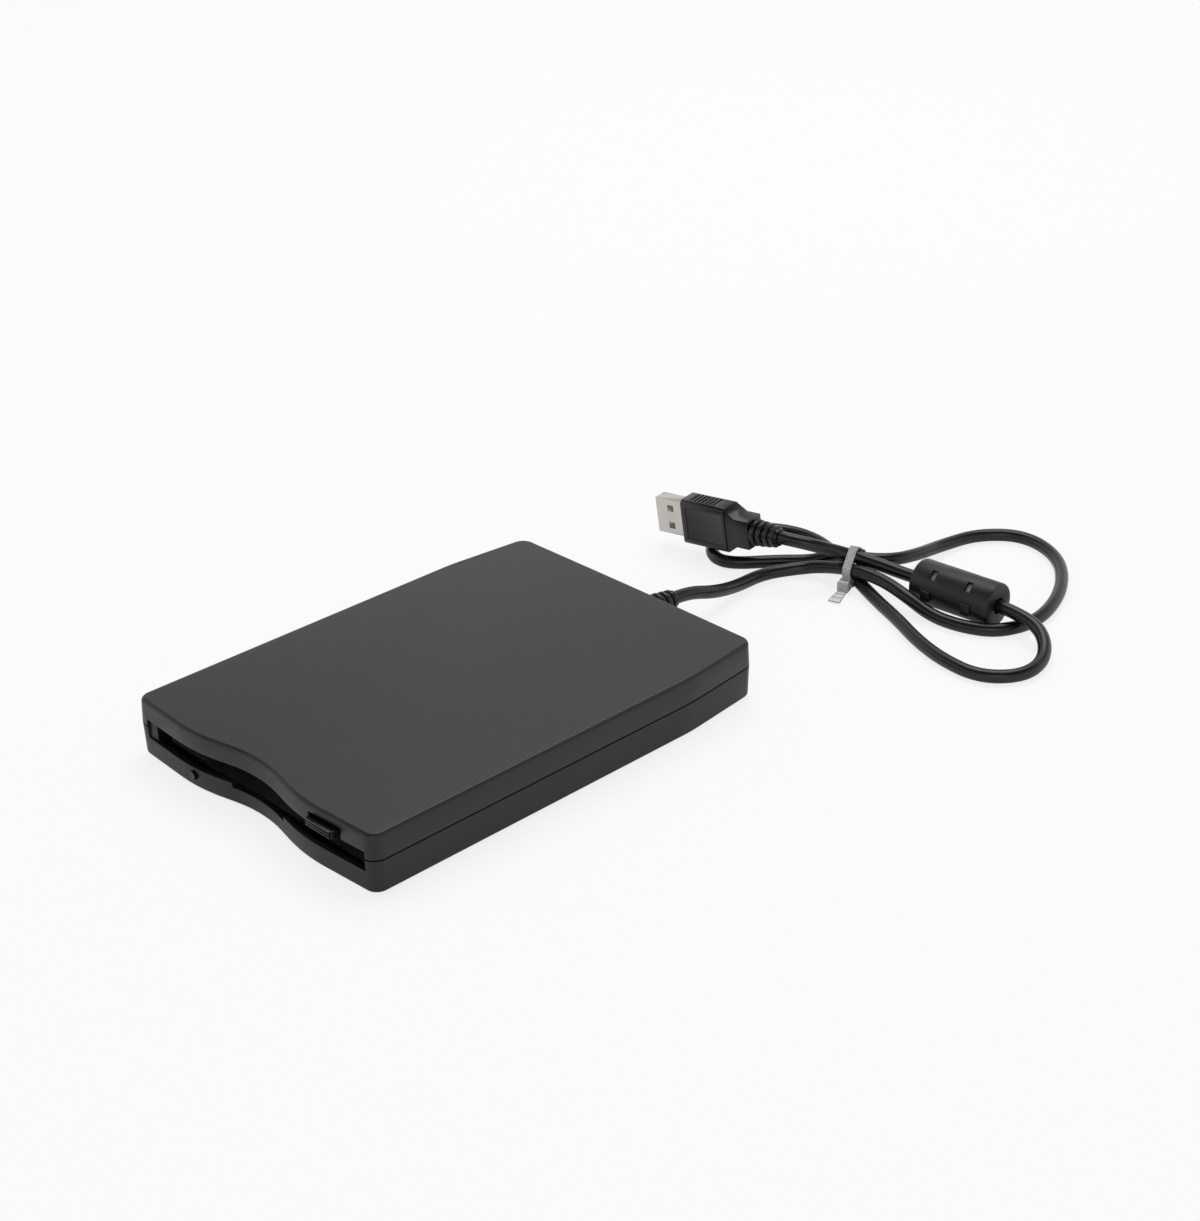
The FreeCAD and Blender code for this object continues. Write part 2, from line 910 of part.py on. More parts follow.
def top_cover():
    body = plate(chassis_plan(0), cover_under, cover_top)
    tabs = []
    spring_end = slider_rear + slider_spring_length + spring_seat_gap
    for side in (-1, 1):
        x = disk_x + side * (tab_inner - slider_strip / 2)
        tabs.append(box(x - spring_tab_half, x + spring_tab_half, spring_end, spring_end + spring_tab_sheet,
                        slider_height - spring_tab_drop, cover_under))
    body = join([body] + tabs)
    window = box(disk_x - cover_window_half, disk_x + cover_window_half, cover_window_front, cover_window_rear,
                 cover_under - 1, cover_top + 1)
    return body.cut(window)


def eject_slider():
    z0 = slider_height
    z1 = z0 + slider_sheet
    bar = box(disk_x - tab_inner, disk_x + tab_inner, slider_front, slider_front + slider_bar, z0, z1)
    parts = [bar]
    notches = []
    for side in (-1, 1):
        inner = disk_x + side * (tab_inner - slider_strip)
        outer = disk_x + side * tab_inner
        parts.append(box(min(inner, outer), max(inner, outer), slider_front, slider_rear, z0, z1))
        for y in (cam_front_y, cam_rear_y):
            parts.append(cam_tab(side, y))
            reach = ear_half + ear_notch_margin
            near = disk_x + side * (tab_inner - ear_gap - ear_sheet - ear_notch_margin)
            notches.append(box(min(near, outer), max(near, outer), y - reach, y + button_travel + reach,
                               z0 - 1, z1 + 1))
    x = button_middle
    parts.append(box(x - tongue_width / 2, x + tongue_width / 2, slider_front - slider_bar, slider_front, z0, z1))
    tabs = [cam_tab(side, y) for side in (-1, 1) for y in (cam_front_y, cam_rear_y)]
    return join(parts).cut(notches).fuse(group(tabs))


def cam_tab(side, y):
    """An upright tab with the sloping slot that lifts a cradle pin."""
    x0 = disk_x + side * tab_inner
    x1 = disk_x + side * tab_outer
    radius = cam_pin_radius + cam_slot_clearance
    low = cam_pin_height - cradle_drop
    y0 = y + button_travel / 2 - cam_tab_length / 2
    bottom = cradle_ceiling + cam_tab_lift
    top = cam_pin_height + radius + cam_tab_top_margin
    tab = box(min(x0, x1), max(x0, x1), y0, y0 + cam_tab_length, bottom, top)
    length = math.hypot(button_travel, cradle_drop)
    slope = math.degrees(math.atan2(-cradle_drop, button_travel))
    xa = min(x0, x1) - 1
    xb = max(x0, x1) + 1
    run = Part.makeBox(xb - xa, length, 2 * radius, V(xa, y, cam_pin_height - radius))
    run.rotate(V(0, y, cam_pin_height), along_x, slope)
    ends = [bar_x(y, cam_pin_height, xa, xb, radius), bar_x(y + button_travel, low, xa, xb, radius)]
    return tab.cut([run] + ends)


def disk_cradle():
    left = disk_x - cradle_outer
    right = disk_x + cradle_outer
    body = box(left, right, cradle_front, cradle_rear, cradle_floor_height - cradle_flange_sheet, cradle_top)
    bore = box(disk_x - cradle_inner, disk_x + cradle_inner, cradle_front - 1, cradle_rear + 1,
               cradle_floor_height, cradle_ceiling)
    gap = cradle_inner - cradle_flange
    floor_gap = box(disk_x - gap, disk_x + gap, cradle_front - 1, cradle_rear + 1,
                    cradle_floor_height - 2, cradle_floor_height + 1)
    body = body.cut([bore, floor_gap])
    parts = [body]
    for side in (-1, 1):
        for y in (cam_front_y, cam_rear_y):
            parts.append(cradle_ear(side, y))
    post_x = disk_x + lever_pivot_offset
    post_top = lever_height + lever_sheet + lever_post_play
    parts.append(disc(post_x, lever_pivot_y, cradle_ceiling, post_top, lever_post_radius))
    parts.append(disc(post_x, lever_pivot_y, post_top, post_top + lever_post_cap, lever_post_head))
    cuts = [box(disk_x - arm_window_half, disk_x + arm_window_half, arm_window_front, cradle_rear + 1,
                cradle_ceiling - 1, cradle_top + 1)]
    cuts.append(lever_track())
    for side in (-1, 1):
        for y in (cam_front_y, cam_rear_y):
            cuts.append(cam_tab_notch(side, y))
    for x, y in sensor_places():
        cuts.append(disc(x, y, 0, cradle_floor_height + 1, plunger_radius + plunger_hole_play))
    body = parts[0].cut(cuts)
    return join([body] + parts[1:])


def cradle_ear(side, y):
    outer = disk_x + side * (tab_inner - ear_gap)
    inner = disk_x + side * (tab_inner - ear_gap - ear_sheet)
    tip = disk_x + side * (tab_outer + cam_pin_overhang)
    top = cam_pin_height + cam_pin_radius + ear_top_margin
    ear = box(min(inner, outer), max(inner, outer), y - ear_half, y + ear_half, cradle_ceiling, top)
    pin = bar_x(y, cam_pin_height, min(inner, tip), max(inner, tip), cam_pin_radius)
    return join([ear, pin])


def cam_tab_notch(side, y):
    """Slit in the cradle's top for a slider tab over its whole travel."""
    x0 = disk_x + side * (tab_inner - cam_notch_side_play)
    x1 = disk_x + side * (tab_outer + cam_notch_side_play)
    y0 = y + button_travel / 2 - cam_tab_length / 2 - button_travel - cam_notch_end_play
    y1 = y0 + cam_tab_length + button_travel + 2 * cam_notch_end_play
    return box(min(x0, x1), max(x0, x1), y0, y1, cradle_ceiling - 0.01, cradle_top + 1)


def lever_point(angle):
    turn = math.radians(angle)
    x = disk_x + lever_pivot_offset + lever_length * math.cos(turn)
    y = lever_pivot_y + lever_length * math.sin(turn)
    return x, y


def lever_track():
    """Curved slot in the cradle's top that the lever's pin swings along."""
    centre = V(disk_x + lever_pivot_offset, lever_pivot_y, cradle_ceiling - 1)
    width = lever_pin_radius + lever_track_play
    depth = cradle_top + 2 - cradle_ceiling
    outer = Part.makeCylinder(lever_length + width, depth, centre, along_z, lever_swing)
    inner = Part.makeCylinder(lever_length - width, depth, centre, along_z, lever_swing)
    track = outer.cut(inner)
    track.rotate(centre, along_z, lever_rest_angle)
    ends = []
    for angle in (lever_rest_angle, lever_rest_angle + lever_swing):
        x, y = lever_point(angle)
        ends.append(disc(x, y, cradle_ceiling - 1, cradle_top + 1, width))
    return track.fuse(ends)


def shutter_lever():
    px = disk_x + lever_pivot_offset
    py = lever_pivot_y
    tx, ty = lever_point(lever_rest_angle)
    z0 = lever_height
    z1 = z0 + lever_sheet
    turn = math.radians(lever_rest_angle)
    nx = -math.sin(turn)
    ny = math.cos(turn)
    wide = lever_hub_radius * lever_web_share
    narrow = lever_tip_radius * lever_web_share
    web = plate([(px + nx * wide, py + ny * wide), (px - nx * wide, py - ny * wide),
                 (tx - nx * narrow, ty - ny * narrow), (tx + nx * narrow, ty + ny * narrow)], z0, z1)
    hub = disc(px, py, z0, z1, lever_hub_radius)
    tip = disc(tx, ty, z0, z1, lever_tip_radius)
    pin = disc(tx, ty, lever_pin_bottom, z0, lever_pin_radius)
    body = join([web, hub, tip, pin])
    return body.cut(disc(px, py, z0 - 1, z1 + 1, lever_post_radius + running_clearance))


def helix_spring(origin, direction, radius, length, turns):
    """An open coil spring that starts at the origin and runs along the direction."""
    path = Part.makeHelix(length / turns, length, radius)
    profile = Part.makeCircle(spring_wire_radius, V(radius, 0, 0), along_y)
    spring = Part.Wire(path).makePipeShell([Part.Wire(profile)], True, False)
    turn = FreeCAD.Rotation(along_z, direction)
    spring.Placement = FreeCAD.Placement(origin, turn)
    return spring


def slider_spring(side):
    x = disk_x + side * (tab_inner - slider_strip / 2)
    start = slider_rear + spring_seat_gap + spring_wire_radius
    length = slider_spring_length - 2 * spring_wire_radius - spring_seat_gap
    z = slider_height + slider_sheet / 2
    return helix_spring(V(x, start, z), along_y, slider_spring_radius, length, spring_turns)


def eject_button():
    z0 = button_bottom
    z1 = z0 + button_height
    front = front_y - button_proud
    rear = front + button_depth
    body = box(button_left, button_right, front, rear, z0, z1)
    edges = [e for e in body.Edges if e.BoundBox.ZMin > z1 - 0.01 and e.BoundBox.YMax < front + 0.01]
    edges += [e for e in body.Edges if e.BoundBox.YMin > front - 0.01 and e.BoundBox.YMax < front + 0.01
              and e.BoundBox.ZLength > 1]
    body = body.makeFillet(button_edge_round, edges)
    lip = box(button_left + button_lip_inset, button_right - button_lip_inset, front - button_lip_proud, front + 1,
              z0, z0 + button_lip_height)
    body = join([body, lip])
    cuts = []
    for i in (1, 2):
        y = front + i * grip_groove_pitch
        cuts.append(bar_x(y, z1, button_left + groove_end_inset, button_right - groove_end_inset, grip_groove_radius))
    gap = tongue_clearance
    x = button_middle
    tongue_front = slider_front - slider_bar - gap
    cuts.append(box(x - tongue_width / 2 - gap, x + tongue_width / 2 + gap, tongue_front, rear + 1,
                    slider_height - gap, slider_height + slider_sheet + gap))
    return body.cut(cuts)


def spindle_rotor():
    x = disk_x
    y = spindle_y
    top = disc(x, y, rotor_top - rotor_sheet, rotor_top, rotor_radius)
    rim = tube_z(x, y, rotor_rim_bottom, rotor_top, rotor_radius, rotor_radius - rotor_rim)
    shaft = disc(x, y, shaft_bottom, rotor_top, shaft_radius)
    body = join([top, rim, shaft])
    vents = []
    for i in range(rotor_vent_count):
        turn = math.radians(rotor_vent_start + i * 360 / rotor_vent_count)
        vent_x = x + rotor_vent_place * math.cos(turn)
        vent_y = y + rotor_vent_place * math.sin(turn)
        vents.append(disc(vent_x, vent_y, rotor_top - 1, rotor_top + 1, rotor_vent_radius))
    return body.cut(vents)


def rotor_magnet():
    outer = rotor_radius - rotor_rim
    return tube_z(disk_x, spindle_y, rotor_rim_bottom + magnet_clearance, rotor_top - rotor_sheet,
                  outer, outer - magnet_thickness)


def chuck_hub():
    x = disk_x
    y = spindle_y
    table = disc(x, y, rotor_top, rotor_top + chuck_height, chuck_radius)
    spigot = disc(x, y, rotor_top, spigot_top, spigot_radius)
    body = join([table, spigot])
    window = disc(x + drive_pin_offset, y, rotor_top, spigot_top, drive_pin_radius + pin_window_play)
    return body.cut(window)


def drive_pin():
    x = disk_x + drive_pin_offset
    return disc(x, spindle_y, rotor_top, rotor_top + chuck_height + drive_pin_rise, drive_pin_radius)


def spindle_bearing():
    inner = shaft_radius + running_clearance
    return tube_z(disk_x, spindle_y, board_top, bearing_top, bearing_radius, inner)


def stator_core():
    z0 = stator_bottom
    z1 = z0 + stator_thickness
    parts = [disc(disk_x, spindle_y, z0, z1, stator_ring_outer)]
    for i in range(tooth_count):
        tooth = box(0, stator_outer - tooth_root_overlap, -tooth_width / 2, tooth_width / 2, z0, z1)
        tip = box(stator_outer - tooth_tip_length, stator_outer + 1, -tooth_tip_width / 2, tooth_tip_width / 2, z0, z1)
        tip = tip.common(disc(0, 0, z0, z1, stator_outer))
        arm = tooth.fuse(tip)
        arm.rotate(V(0, 0, 0), along_z, i * 360 / tooth_count)
        arm.translate(V(disk_x, spindle_y, 0))
        parts.append(arm)
    return join(parts).cut(disc(disk_x, spindle_y, 0, case_top, stator_inner))


def stator_coils():
    z0 = stator_bottom - coil_wall
    z1 = stator_bottom + stator_thickness + coil_wall
    coils = []
    for i in range(tooth_count):
        start = stator_ring_outer + coil_start_gap
        coil = box(start, start + coil_length, -coil_width / 2, coil_width / 2, z0, z1)
        core = box(start - 1, start + coil_length + 1, -tooth_width / 2, tooth_width / 2,
                   stator_bottom, stator_bottom + stator_thickness)
        coil = coil.cut(core)
        coil.rotate(V(0, 0, 0), along_z, i * 360 / tooth_count)
        coil.translate(V(disk_x, spindle_y, 0))
        coils.append(coil)
    return group(coils)


def head_carriage():
    left = disk_x - carriage_left
    right = disk_x + carriage_right
    body = box(left, right, carriage_front, carriage_rear, carriage_bottom, carriage_top)
    hollow = box(disk_x - carriage_hollow_half, disk_x + carriage_hollow_half, carriage_front + carriage_front_wall,
                 carriage_rear - carriage_rear_wall, carriage_bottom + carriage_floor, carriage_top + 1)
    body = body.cut(hollow)
    arm = plate([(disk_x - arm_root_half, carriage_front + 1), (disk_x - arm_tip_half, arm_front),
                 (disk_x + arm_tip_half, arm_front), (disk_x + arm_root_half, carriage_front + 1)],
                lower_arm_bottom, lower_arm_bottom + lower_arm_thickness)
    root = box(disk_x - arm_root_half, disk_x + arm_root_half, carriage_front - arm_root_length,
               carriage_front + 1, lower_arm_bottom, carriage_bottom + arm_root_height)
    follower = box(right - 1, screw_x, follower_front, follower_front + follower_length, follower_bottom, carriage_top)
    flag = box(disk_x - zero_sensor_offset + flag_overhang, left + 1, carriage_rear - 2 * flag_length,
               carriage_rear - flag_length, flag_bottom, flag_top)
    ears = []
    for side in (-1, 1):
        inner = disk_x + side * (arm_root_half + hinge_ear_gap)
        outer = inner + side * hinge_ear_thickness
        ear = box(min(inner, outer), max(inner, outer), arm_pivot_y - hinge_ear_half, arm_pivot_y + hinge_ear_half,
                  carriage_top - 1, pivot_height() + hinge_ear_rise)
        ears.append(ear)
    body = join([body, arm, root, follower, flag] + ears)
    cuts = []
    for offset in (-left_rod_offset, right_rod_offset):
        cuts.append(bar_y(disk_x + offset, rod_height, carriage_front - 1, carriage_rear + 1,
                          rod_radius + running_clearance))
    x = disk_x + right_rod_offset
    cuts.append(box(x, right + 1, carriage_front + open_bearing_front, carriage_rear + 1,
                    rod_height - rod_radius - running_clearance, rod_height + rod_radius + running_clearance))
    cuts.append(bar_y(screw_x, motor_height, follower_front - 1, follower_front + follower_length + 1,
                      lead_screw_radius + thread_clearance))
    cuts.append(bar_x(arm_pivot_y, pivot_height(), disk_x - carriage_right, disk_x + carriage_right, pivot_pin_radius))
    return body.cut(cuts).removeSplitter()


def pivot_height():
    return arm_bottom + arm_thickness / 2


def lower_head():
    base = lower_arm_bottom + lower_arm_thickness
    half_width = head_width * lower_gimbal_half_width
    half_length = head_length * lower_gimbal_half_length
    gimbal = box(disk_x - half_width, disk_x + half_width, head_y - half_length, head_y + half_length,
                 base, base + gimbal_sheet)
    core = box(disk_x - head_width / 2, disk_x + head_width / 2, head_y - head_length / 2,
               head_y + head_length / 2, base, lower_head_top)
    return join([gimbal, core])


def upper_arm():
    z0 = arm_bottom
    z1 = z0 + arm_thickness
    body = plate([(disk_x - arm_root_half, arm_pivot_y), (disk_x - arm_tip_half, arm_front),
                  (disk_x + arm_tip_half, arm_front), (disk_x + arm_root_half, arm_pivot_y)], z0, z1)
    knuckle = bar_x(arm_pivot_y, pivot_height(), disk_x - arm_root_half, disk_x + arm_root_half, knuckle_radius)
    body = join([body, knuckle])
    window = box(disk_x - arm_window_half_width, disk_x + arm_window_half_width, head_y + arm_window_from_head,
                 arm_pivot_y - arm_window_from_pivot, z0 - 1, z1 + 1)
    pin_hole = bar_x(arm_pivot_y, pivot_height(), disk_x - carriage_right, disk_x + carriage_right, pivot_pin_radius + running_clearance)
    return lifted(body.cut([window, pin_hole]))


def upper_head():
    z1 = arm_bottom
    z0 = lower_head_top + upper_head_gap
    core = box(disk_x - head_width / 2, disk_x + head_width / 2, head_y - head_length / 2,
               head_y + head_length / 2, z0, z1)
    half_width = arm_tip_half - gimbal_sheet
    half_length = head_length * upper_gimbal_half_length
    gimbal = box(disk_x - half_width, disk_x + half_width, head_y - half_length, head_y + half_length,
                 z1 - gimbal_sheet, z1)
    return lifted(join([core, gimbal]))


def lifted(shape):
    """The head arm waits raised until a disk is in."""
    shape.rotate(V(disk_x, arm_pivot_y, pivot_height()), along_x, -arm_lift)
    return shape


def arm_pivot_pin():
    half = arm_root_half + hinge_ear_gap + hinge_ear_thickness
    return bar_x(arm_pivot_y, pivot_height(), disk_x - half, disk_x + half, pivot_pin_radius)


def arm_spring():
    z = arm_bottom + arm_thickness + leaf_gap
    leaf = box(disk_x - leaf_half_width, disk_x + leaf_half_width, arm_pivot_y - leaf_length,
               arm_pivot_y - leaf_root, z, z + leaf_sheet)
    return lifted(leaf)


def guide_rods():
    rods = []
    for offset in (-left_rod_offset, right_rod_offset):
        rods.append(bar_y(disk_x + offset, rod_height, rod_front, drive_rear, rod_radius))
    return group(rods)


def motor_bracket():
    front = lead_screw_front - bracket_sheet - nose_clearance
    base = box(screw_x - bracket_half, screw_x + bracket_half, front, motor_front, chassis_top,
               chassis_top + bracket_sheet)
    rear = box(screw_x - bracket_half, screw_x + bracket_half, motor_front - bracket_sheet, motor_front,
               chassis_top, motor_height + motor_radius)
    nose = box(screw_x - nose_half, screw_x + nose_half, front, front + bracket_sheet,
               chassis_top, motor_height + nose_rise)
    body = join([base, rear, nose])
    cuts = [bar_y(screw_x, motor_height, front - 1, front + 2, journal_radius + running_clearance)]
    cuts.append(bar_y(screw_x, motor_height, motor_front - 2, motor_front + 1, lead_screw_radius + screw_hole_play))
    cuts.append(box(screw_x - nose_half, screw_x + bracket_window_right, front + bracket_window_margin,
                    motor_front - bracket_window_margin, 0, case_top))
    return body.cut(cuts)


def stepper_motor():
    can = bar_y(screw_x, motor_height, motor_front, motor_front + motor_length, motor_radius)
    inner = bar_y(screw_x, motor_height, motor_front - 1, motor_front + motor_bearing_depth,
                  lead_screw_radius + running_clearance)
    terminal = box(screw_x - terminal_half, screw_x + terminal_half, motor_front + terminal_front,
                   motor_front + terminal_rear, chassis_top, motor_height)
    return join([can, terminal]).cut(inner)


def lead_screw():
    rear = motor_front + screw_tail
    body = bar_y(screw_x, motor_height, lead_screw_front, rear, lead_screw_radius)
    front = lead_screw_front - bracket_sheet - nose_clearance
    journal = bar_y(screw_x, motor_height, front, lead_screw_front + 1, journal_radius)
    return join([body, journal])


def zero_sensor():
    x = disk_x - zero_sensor_offset
    y0 = carriage_rear - zero_sensor_front
    y1 = carriage_rear - zero_sensor_rear
    body = box(x - zero_sensor_left, x + zero_sensor_right, y0, y1, chassis_top, zero_sensor_top)
    gap = box(x + zero_gap_left, x + zero_sensor_right + 1, y0 - 1, y1 + 1, zero_gap_bottom, zero_gap_top)
    return body.cut(gap)


def sensor_bodies():
    bodies = []
    for x, y in sensor_places():
        half = sensor_body_half
        body = box(x - half, x + half, y - half, y + half, board_top, sensor_body_top)
        bore = disc(x, y, plunger_foot - plunger_bore_depth, sensor_body_top + 1, plunger_radius + plunger_clearance)
        bodies.append(body.cut(bore))
    return group(bodies)


def plunger(offset):
    x = disk_x + offset
    body = disc(x, sensor_y, plunger_foot + plunger_lift, plunger_top, plunger_radius)
    top = [e for e in body.Edges if e.BoundBox.ZMin > plunger_top - 0.01]
    return body.makeFillet(plunger_round, top)


def bridge_board():
    return box(bridge_left, bridge_right, bridge_front, bridge_rear, board_bottom, board_top)


def bridge_block(x0, x1, y0, y1, height):
    return box(x0, x1, bridge_front + y0, bridge_front + y1, board_top, board_top + height)


def bridge_parts():
    capacitor = disc(capacitor_x, bridge_front + capacitor_y, board_top, board_top + capacitor_height,
                     capacitor_radius)
    return group([bridge_block(*bridge_chip_place), bridge_block(*crystal_place), capacitor])


def drive_socket():
    half = connector_width / 2
    rear = drive_rear + connector_overhang
    body = box(connector_x - half, connector_x + half, rear - connector_depth, rear, board_top,
               board_top + connector_height)
    mouth = box(connector_x - half + 1, connector_x + half - 1, rear - mouth_depth, rear + 1,
                board_top + connector_wall, board_top + connector_height - connector_wall)
    return body.cut(mouth)


def bridge_plug():
    half = connector_width / 2
    front = drive_rear + connector_overhang
    side = 1 + blade_play
    edge = connector_wall + blade_play
    body = box(connector_x - half, connector_x + half, front + plug_body_front, front + plug_body_rear, board_top,
               board_top + connector_height)
    blade = box(connector_x - half + side, connector_x + half - side, front - blade_length, front + 1,
                board_top + edge, board_top + connector_height - edge)
    return join([body, blade])


def cord_header():
    y = lead_y() - lead_bend
    return box(cord_x - header_half, cord_x + header_half, y - header_front, y + header_rear, board_top, cord_height - lead_bend)


def lead_y():
    return back_y - shell_wall - relief_flange_length - side_draft - relief_inner_clearance


def cord_leads():
    """Four wires that bend down from the strain relief to their header."""
    leads = []
    for i in range(lead_count):
        x = cord_x + (i - (lead_count - 1) / 2) * lead_pitch
        ring = Part.makeTorus(lead_bend, lead_radius, V(x, lead_y(), cord_height - lead_bend), along_x)
        quarter = box(x - 1, x + 1, lead_y() - lead_bend - 1, lead_y(), cord_height - lead_bend, cord_height + 1)
        leads.append(ring.common(quarter))
    return group(leads)


def strain_relief():
    inner = lead_y()
    neck_front = inner + relief_flange_length
    flange = bar_y(cord_x, cord_height, inner, neck_front, relief_flange_radius)
    collar_end = back_y + relief_collar
    neck = bar_y(cord_x, cord_height, inner, collar_end, relief_neck_radius - relief_clearance)
    collar = bar_y(cord_x, cord_height, back_y + relief_clearance, collar_end, relief_collar_radius)
    sleeve = Part.makeCone(relief_root_radius, relief_tip_radius, relief_end_y - collar_end,
                           V(cord_x, collar_end, cord_height), along_y)
    body = join([flange, neck, collar, sleeve])
    grooves = []
    y = collar_end + relief_rib_pitch - relief_groove_width
    while y < relief_end_y - relief_rib_pitch:
        share = (y - collar_end) / (relief_end_y - collar_end)
        radius = relief_root_radius + (relief_tip_radius - relief_root_radius) * share
        grooves.append(Part.makeTorus(radius + relief_groove_lift, relief_groove_depth, V(cord_x, y, cord_height), along_y))
        y += relief_rib_pitch
    return body.cut(grooves)


def cord_path():
    """Straight runs joined by tangent arcs, each as large as its two runs allow."""
    points = [V(*p) for p in cord_route]
    edges = []
    length = 0.0
    here = points[0]
    radii = []
    for i in range(1, len(points) - 1):
        back = points[i - 1] - points[i]
        ahead = points[i + 1] - points[i]
        shorter = min(back.Length, ahead.Length)
        back.normalize()
        ahead.normalize()
        turn = math.pi - back.getAngle(ahead)
        reach = arc_share * shorter
        radius = reach / math.tan(turn / 2)
        radii.append(round(radius, 1))
        start = points[i] + back * reach
        end = points[i] + ahead * reach
        inward = (back + ahead).normalize()
        middle = points[i] + inward * (radius / math.cos(turn / 2) - radius)
        edges.append(Part.LineSegment(here, start).toShape())
        edges.append(Part.Arc(start, middle, end).toShape())
        here = end
    edges.append(Part.LineSegment(here, points[-1]).toShape())
    for edge in edges:
        length += edge.Length
    return Part.Wire(edges), length, radii


def cord():
    path, length, radii = cord_path()
    start = V(*cord_route[0])
    heading = (V(*cord_route[1]) - start).normalize()
    profile = Part.Wire(Part.makeCircle(cord_radius, start, heading))
    tube = path.makePipeShell([profile], True, False)
    share = tube.Volume / (math.pi * cord_radius ** 2 * length)
    print("cord length", round(length, 1), "volume share", round(share, 4), "radii", radii)
    return tube


def ferrite_frame():
    """Middle of the housing, its axis and its placement."""
    a = V(*ferrite_from)
    b = V(*ferrite_to)
    middle = (a + b) * 0.5
    axis = (a - b).normalize()
    turn = FreeCAD.Rotation(along_x, axis)
    return FreeCAD.Placement(middle, turn)


def ferrite_window(side, x):
    half = ferrite_window_length / 2
    wide = ferrite_window_width / 2
    y0 = -ferrite_housing_radius - 1 if side < 0 else 0
    y1 = 0 if side < 0 else ferrite_housing_radius + 1
    return box(x - half, x + half, y0, y1, ferrite_window_rise - wide,
               ferrite_window_rise + wide)


def ferrite_housing(upper):
    half = ferrite_length / 2
    shell = bar_x(0, 0, -half, half, ferrite_housing_radius)
    rims = [e for e in shell.Edges if e.BoundBox.XLength < 0.01]
    shell = shell.makeFillet(ferrite_rim_round, rims)
    shell = shell.cut(bar_x(0, 0, -half + ferrite_end_wall, half - ferrite_end_wall,
                            ferrite_housing_radius - ferrite_housing_wall))
    shell = shell.cut(bar_x(0, 0, -half - 1, half + 1, cord_radius + ferrite_cord_play))
    cuts = []
    for x in (-ferrite_window_spacing / 2, ferrite_window_spacing / 2):
        cuts.append(ferrite_window(-1, x))
        cuts.append(ferrite_window(1, x))
    shell = shell.cut(cuts)
    reach = ferrite_housing_radius + 3
    if upper:
        part = shell.common(box(-reach * 3, reach * 3, -reach, reach, ferrite_split_gap / 2, reach))
        for x in (-ferrite_length / 4, ferrite_length / 4):
            latch = box(x - ferrite_latch_length / 2, x + ferrite_latch_length / 2,
                        -ferrite_housing_radius - ferrite_latch_proud, -ferrite_housing_radius + latch_root,
                        -ferrite_latch_height, latch_top)
            latch = latch.cut(bar_x(0, 0, -half, half, ferrite_housing_radius + latch_play))
            bridge = box(x - ferrite_latch_length / 2, x + ferrite_latch_length / 2,
                         -ferrite_housing_radius - latch_bridge_overlap,
                         -ferrite_housing_radius + latch_bridge_depth, latch_bridge_bottom, latch_top)
            part = part.fuse(latch.fuse(bridge))
    else:
        part = shell.common(box(-reach * 3, reach * 3, -reach, reach, -reach, -ferrite_split_gap / 2))
    part.Placement = ferrite_frame()
    return part


def ferrite_core():
    half = ferrite_length / 2 - ferrite_end_wall - core_end_play
    core = bar_x(0, 0, -half, half, ferrite_core_radius)
    core = core.cut(bar_x(0, 0, -half - 1, half + 1, cord_radius + ferrite_bore_clearance))
    reach = ferrite_core_radius + 1
    upper = core.common(box(-half - 1, half + 1, -reach, reach, core_split / 2, reach))
    lower = core.common(box(-half - 1, half + 1, -reach, reach, -reach, -core_split / 2))
    both = group([upper, lower])
    both.Placement = ferrite_frame()
    return both


def cord_tie():
    """Drawn with X across the strands, Y up and Z along them, then turned into place."""
    def hull(grow):
        corners = inset_corners([(x, y, 0) for x, y in tie_strands], -grow)
        return Part.Face(rounded_wire(corners, -tie_band / 2)).extrude(V(0, 0, tie_band))
    inside = cord_radius + tie_clearance
    band = hull(inside + tie_thickness)
    middle = -tie_head_forward
    half = tie_head_width / 2
    head = box(tie_head_left, tie_head_right, tie_head_bottom, tie_head_bottom + tie_head_height,
               middle - half, middle + half)
    tail_top = tie_tail_bottom + tie_tail_thickness
    narrow = tie_band / 2
    wide = tie_tail_flare / 2
    root = tie_head_left + tie_tail_overlap
    outline = [V(root, tail_top, middle - narrow), V(root, tail_top, middle + narrow),
               V(tie_tail_end, tail_top, middle + wide), V(tie_tail_end, tail_top, middle - wide)]
    tail = Part.Face(Part.makePolygon(outline + outline[:1])).extrude(V(0, -tie_tail_thickness, 0))
    body = join([band, head, tail]).cut(hull(inside))
    body.rotate(V(0, 0, 0), along_x, 90)
    body.rotate(V(0, 0, 0), along_z, 90 + tie_heading)
    body.translate(V(tie_x, tie_y, 0))
    return body


def plug_frame():
    turn = FreeCAD.Rotation(along_z, plug_heading)
    turn = turn.multiply(FreeCAD.Rotation(along_y, -plug_pitch))
    turn = turn.multiply(FreeCAD.Rotation(along_x, -plug_roll))
    return FreeCAD.Placement(V(plug_x, plug_y, plug_z), turn)


def placed(shape, frame):
    shape.Placement = frame.multiply(shape.Placement)
    return shape


def plug_shell():
    w = plug_shell_width / 2
    t = plug_shell_thickness / 2
    s = plug_shell_sheet
    body = box(-plug_shell_reach, plug_shell_root, -t, t, -w, w)
    body = body.cut(box(-plug_shell_reach - 1, plug_shell_root + 1, -t + s, t - s, -w + s, w - s))
    cuts = []
    for z in (-plug_window_offset, plug_window_offset):
        cuts.append(box(plug_window_x - plug_window_length / 2, plug_window_x + plug_window_length / 2,
                        -t - 1, t + 1, z - plug_window_width / 2, z + plug_window_width / 2))
    return placed(body.cut(cuts), plug_frame())


def tongue_faces():
    t = plug_shell_thickness / 2 - plug_shell_sheet
    return t - plug_tongue_thickness, t


def plug_tongue():
    near, far = tongue_faces()
    w = plug_shell_width / 2 - plug_shell_sheet
    body = box(-plug_shell_reach + plug_tongue_inset, plug_shell_root, near, far, -w, w)
    return placed(body, plug_frame())


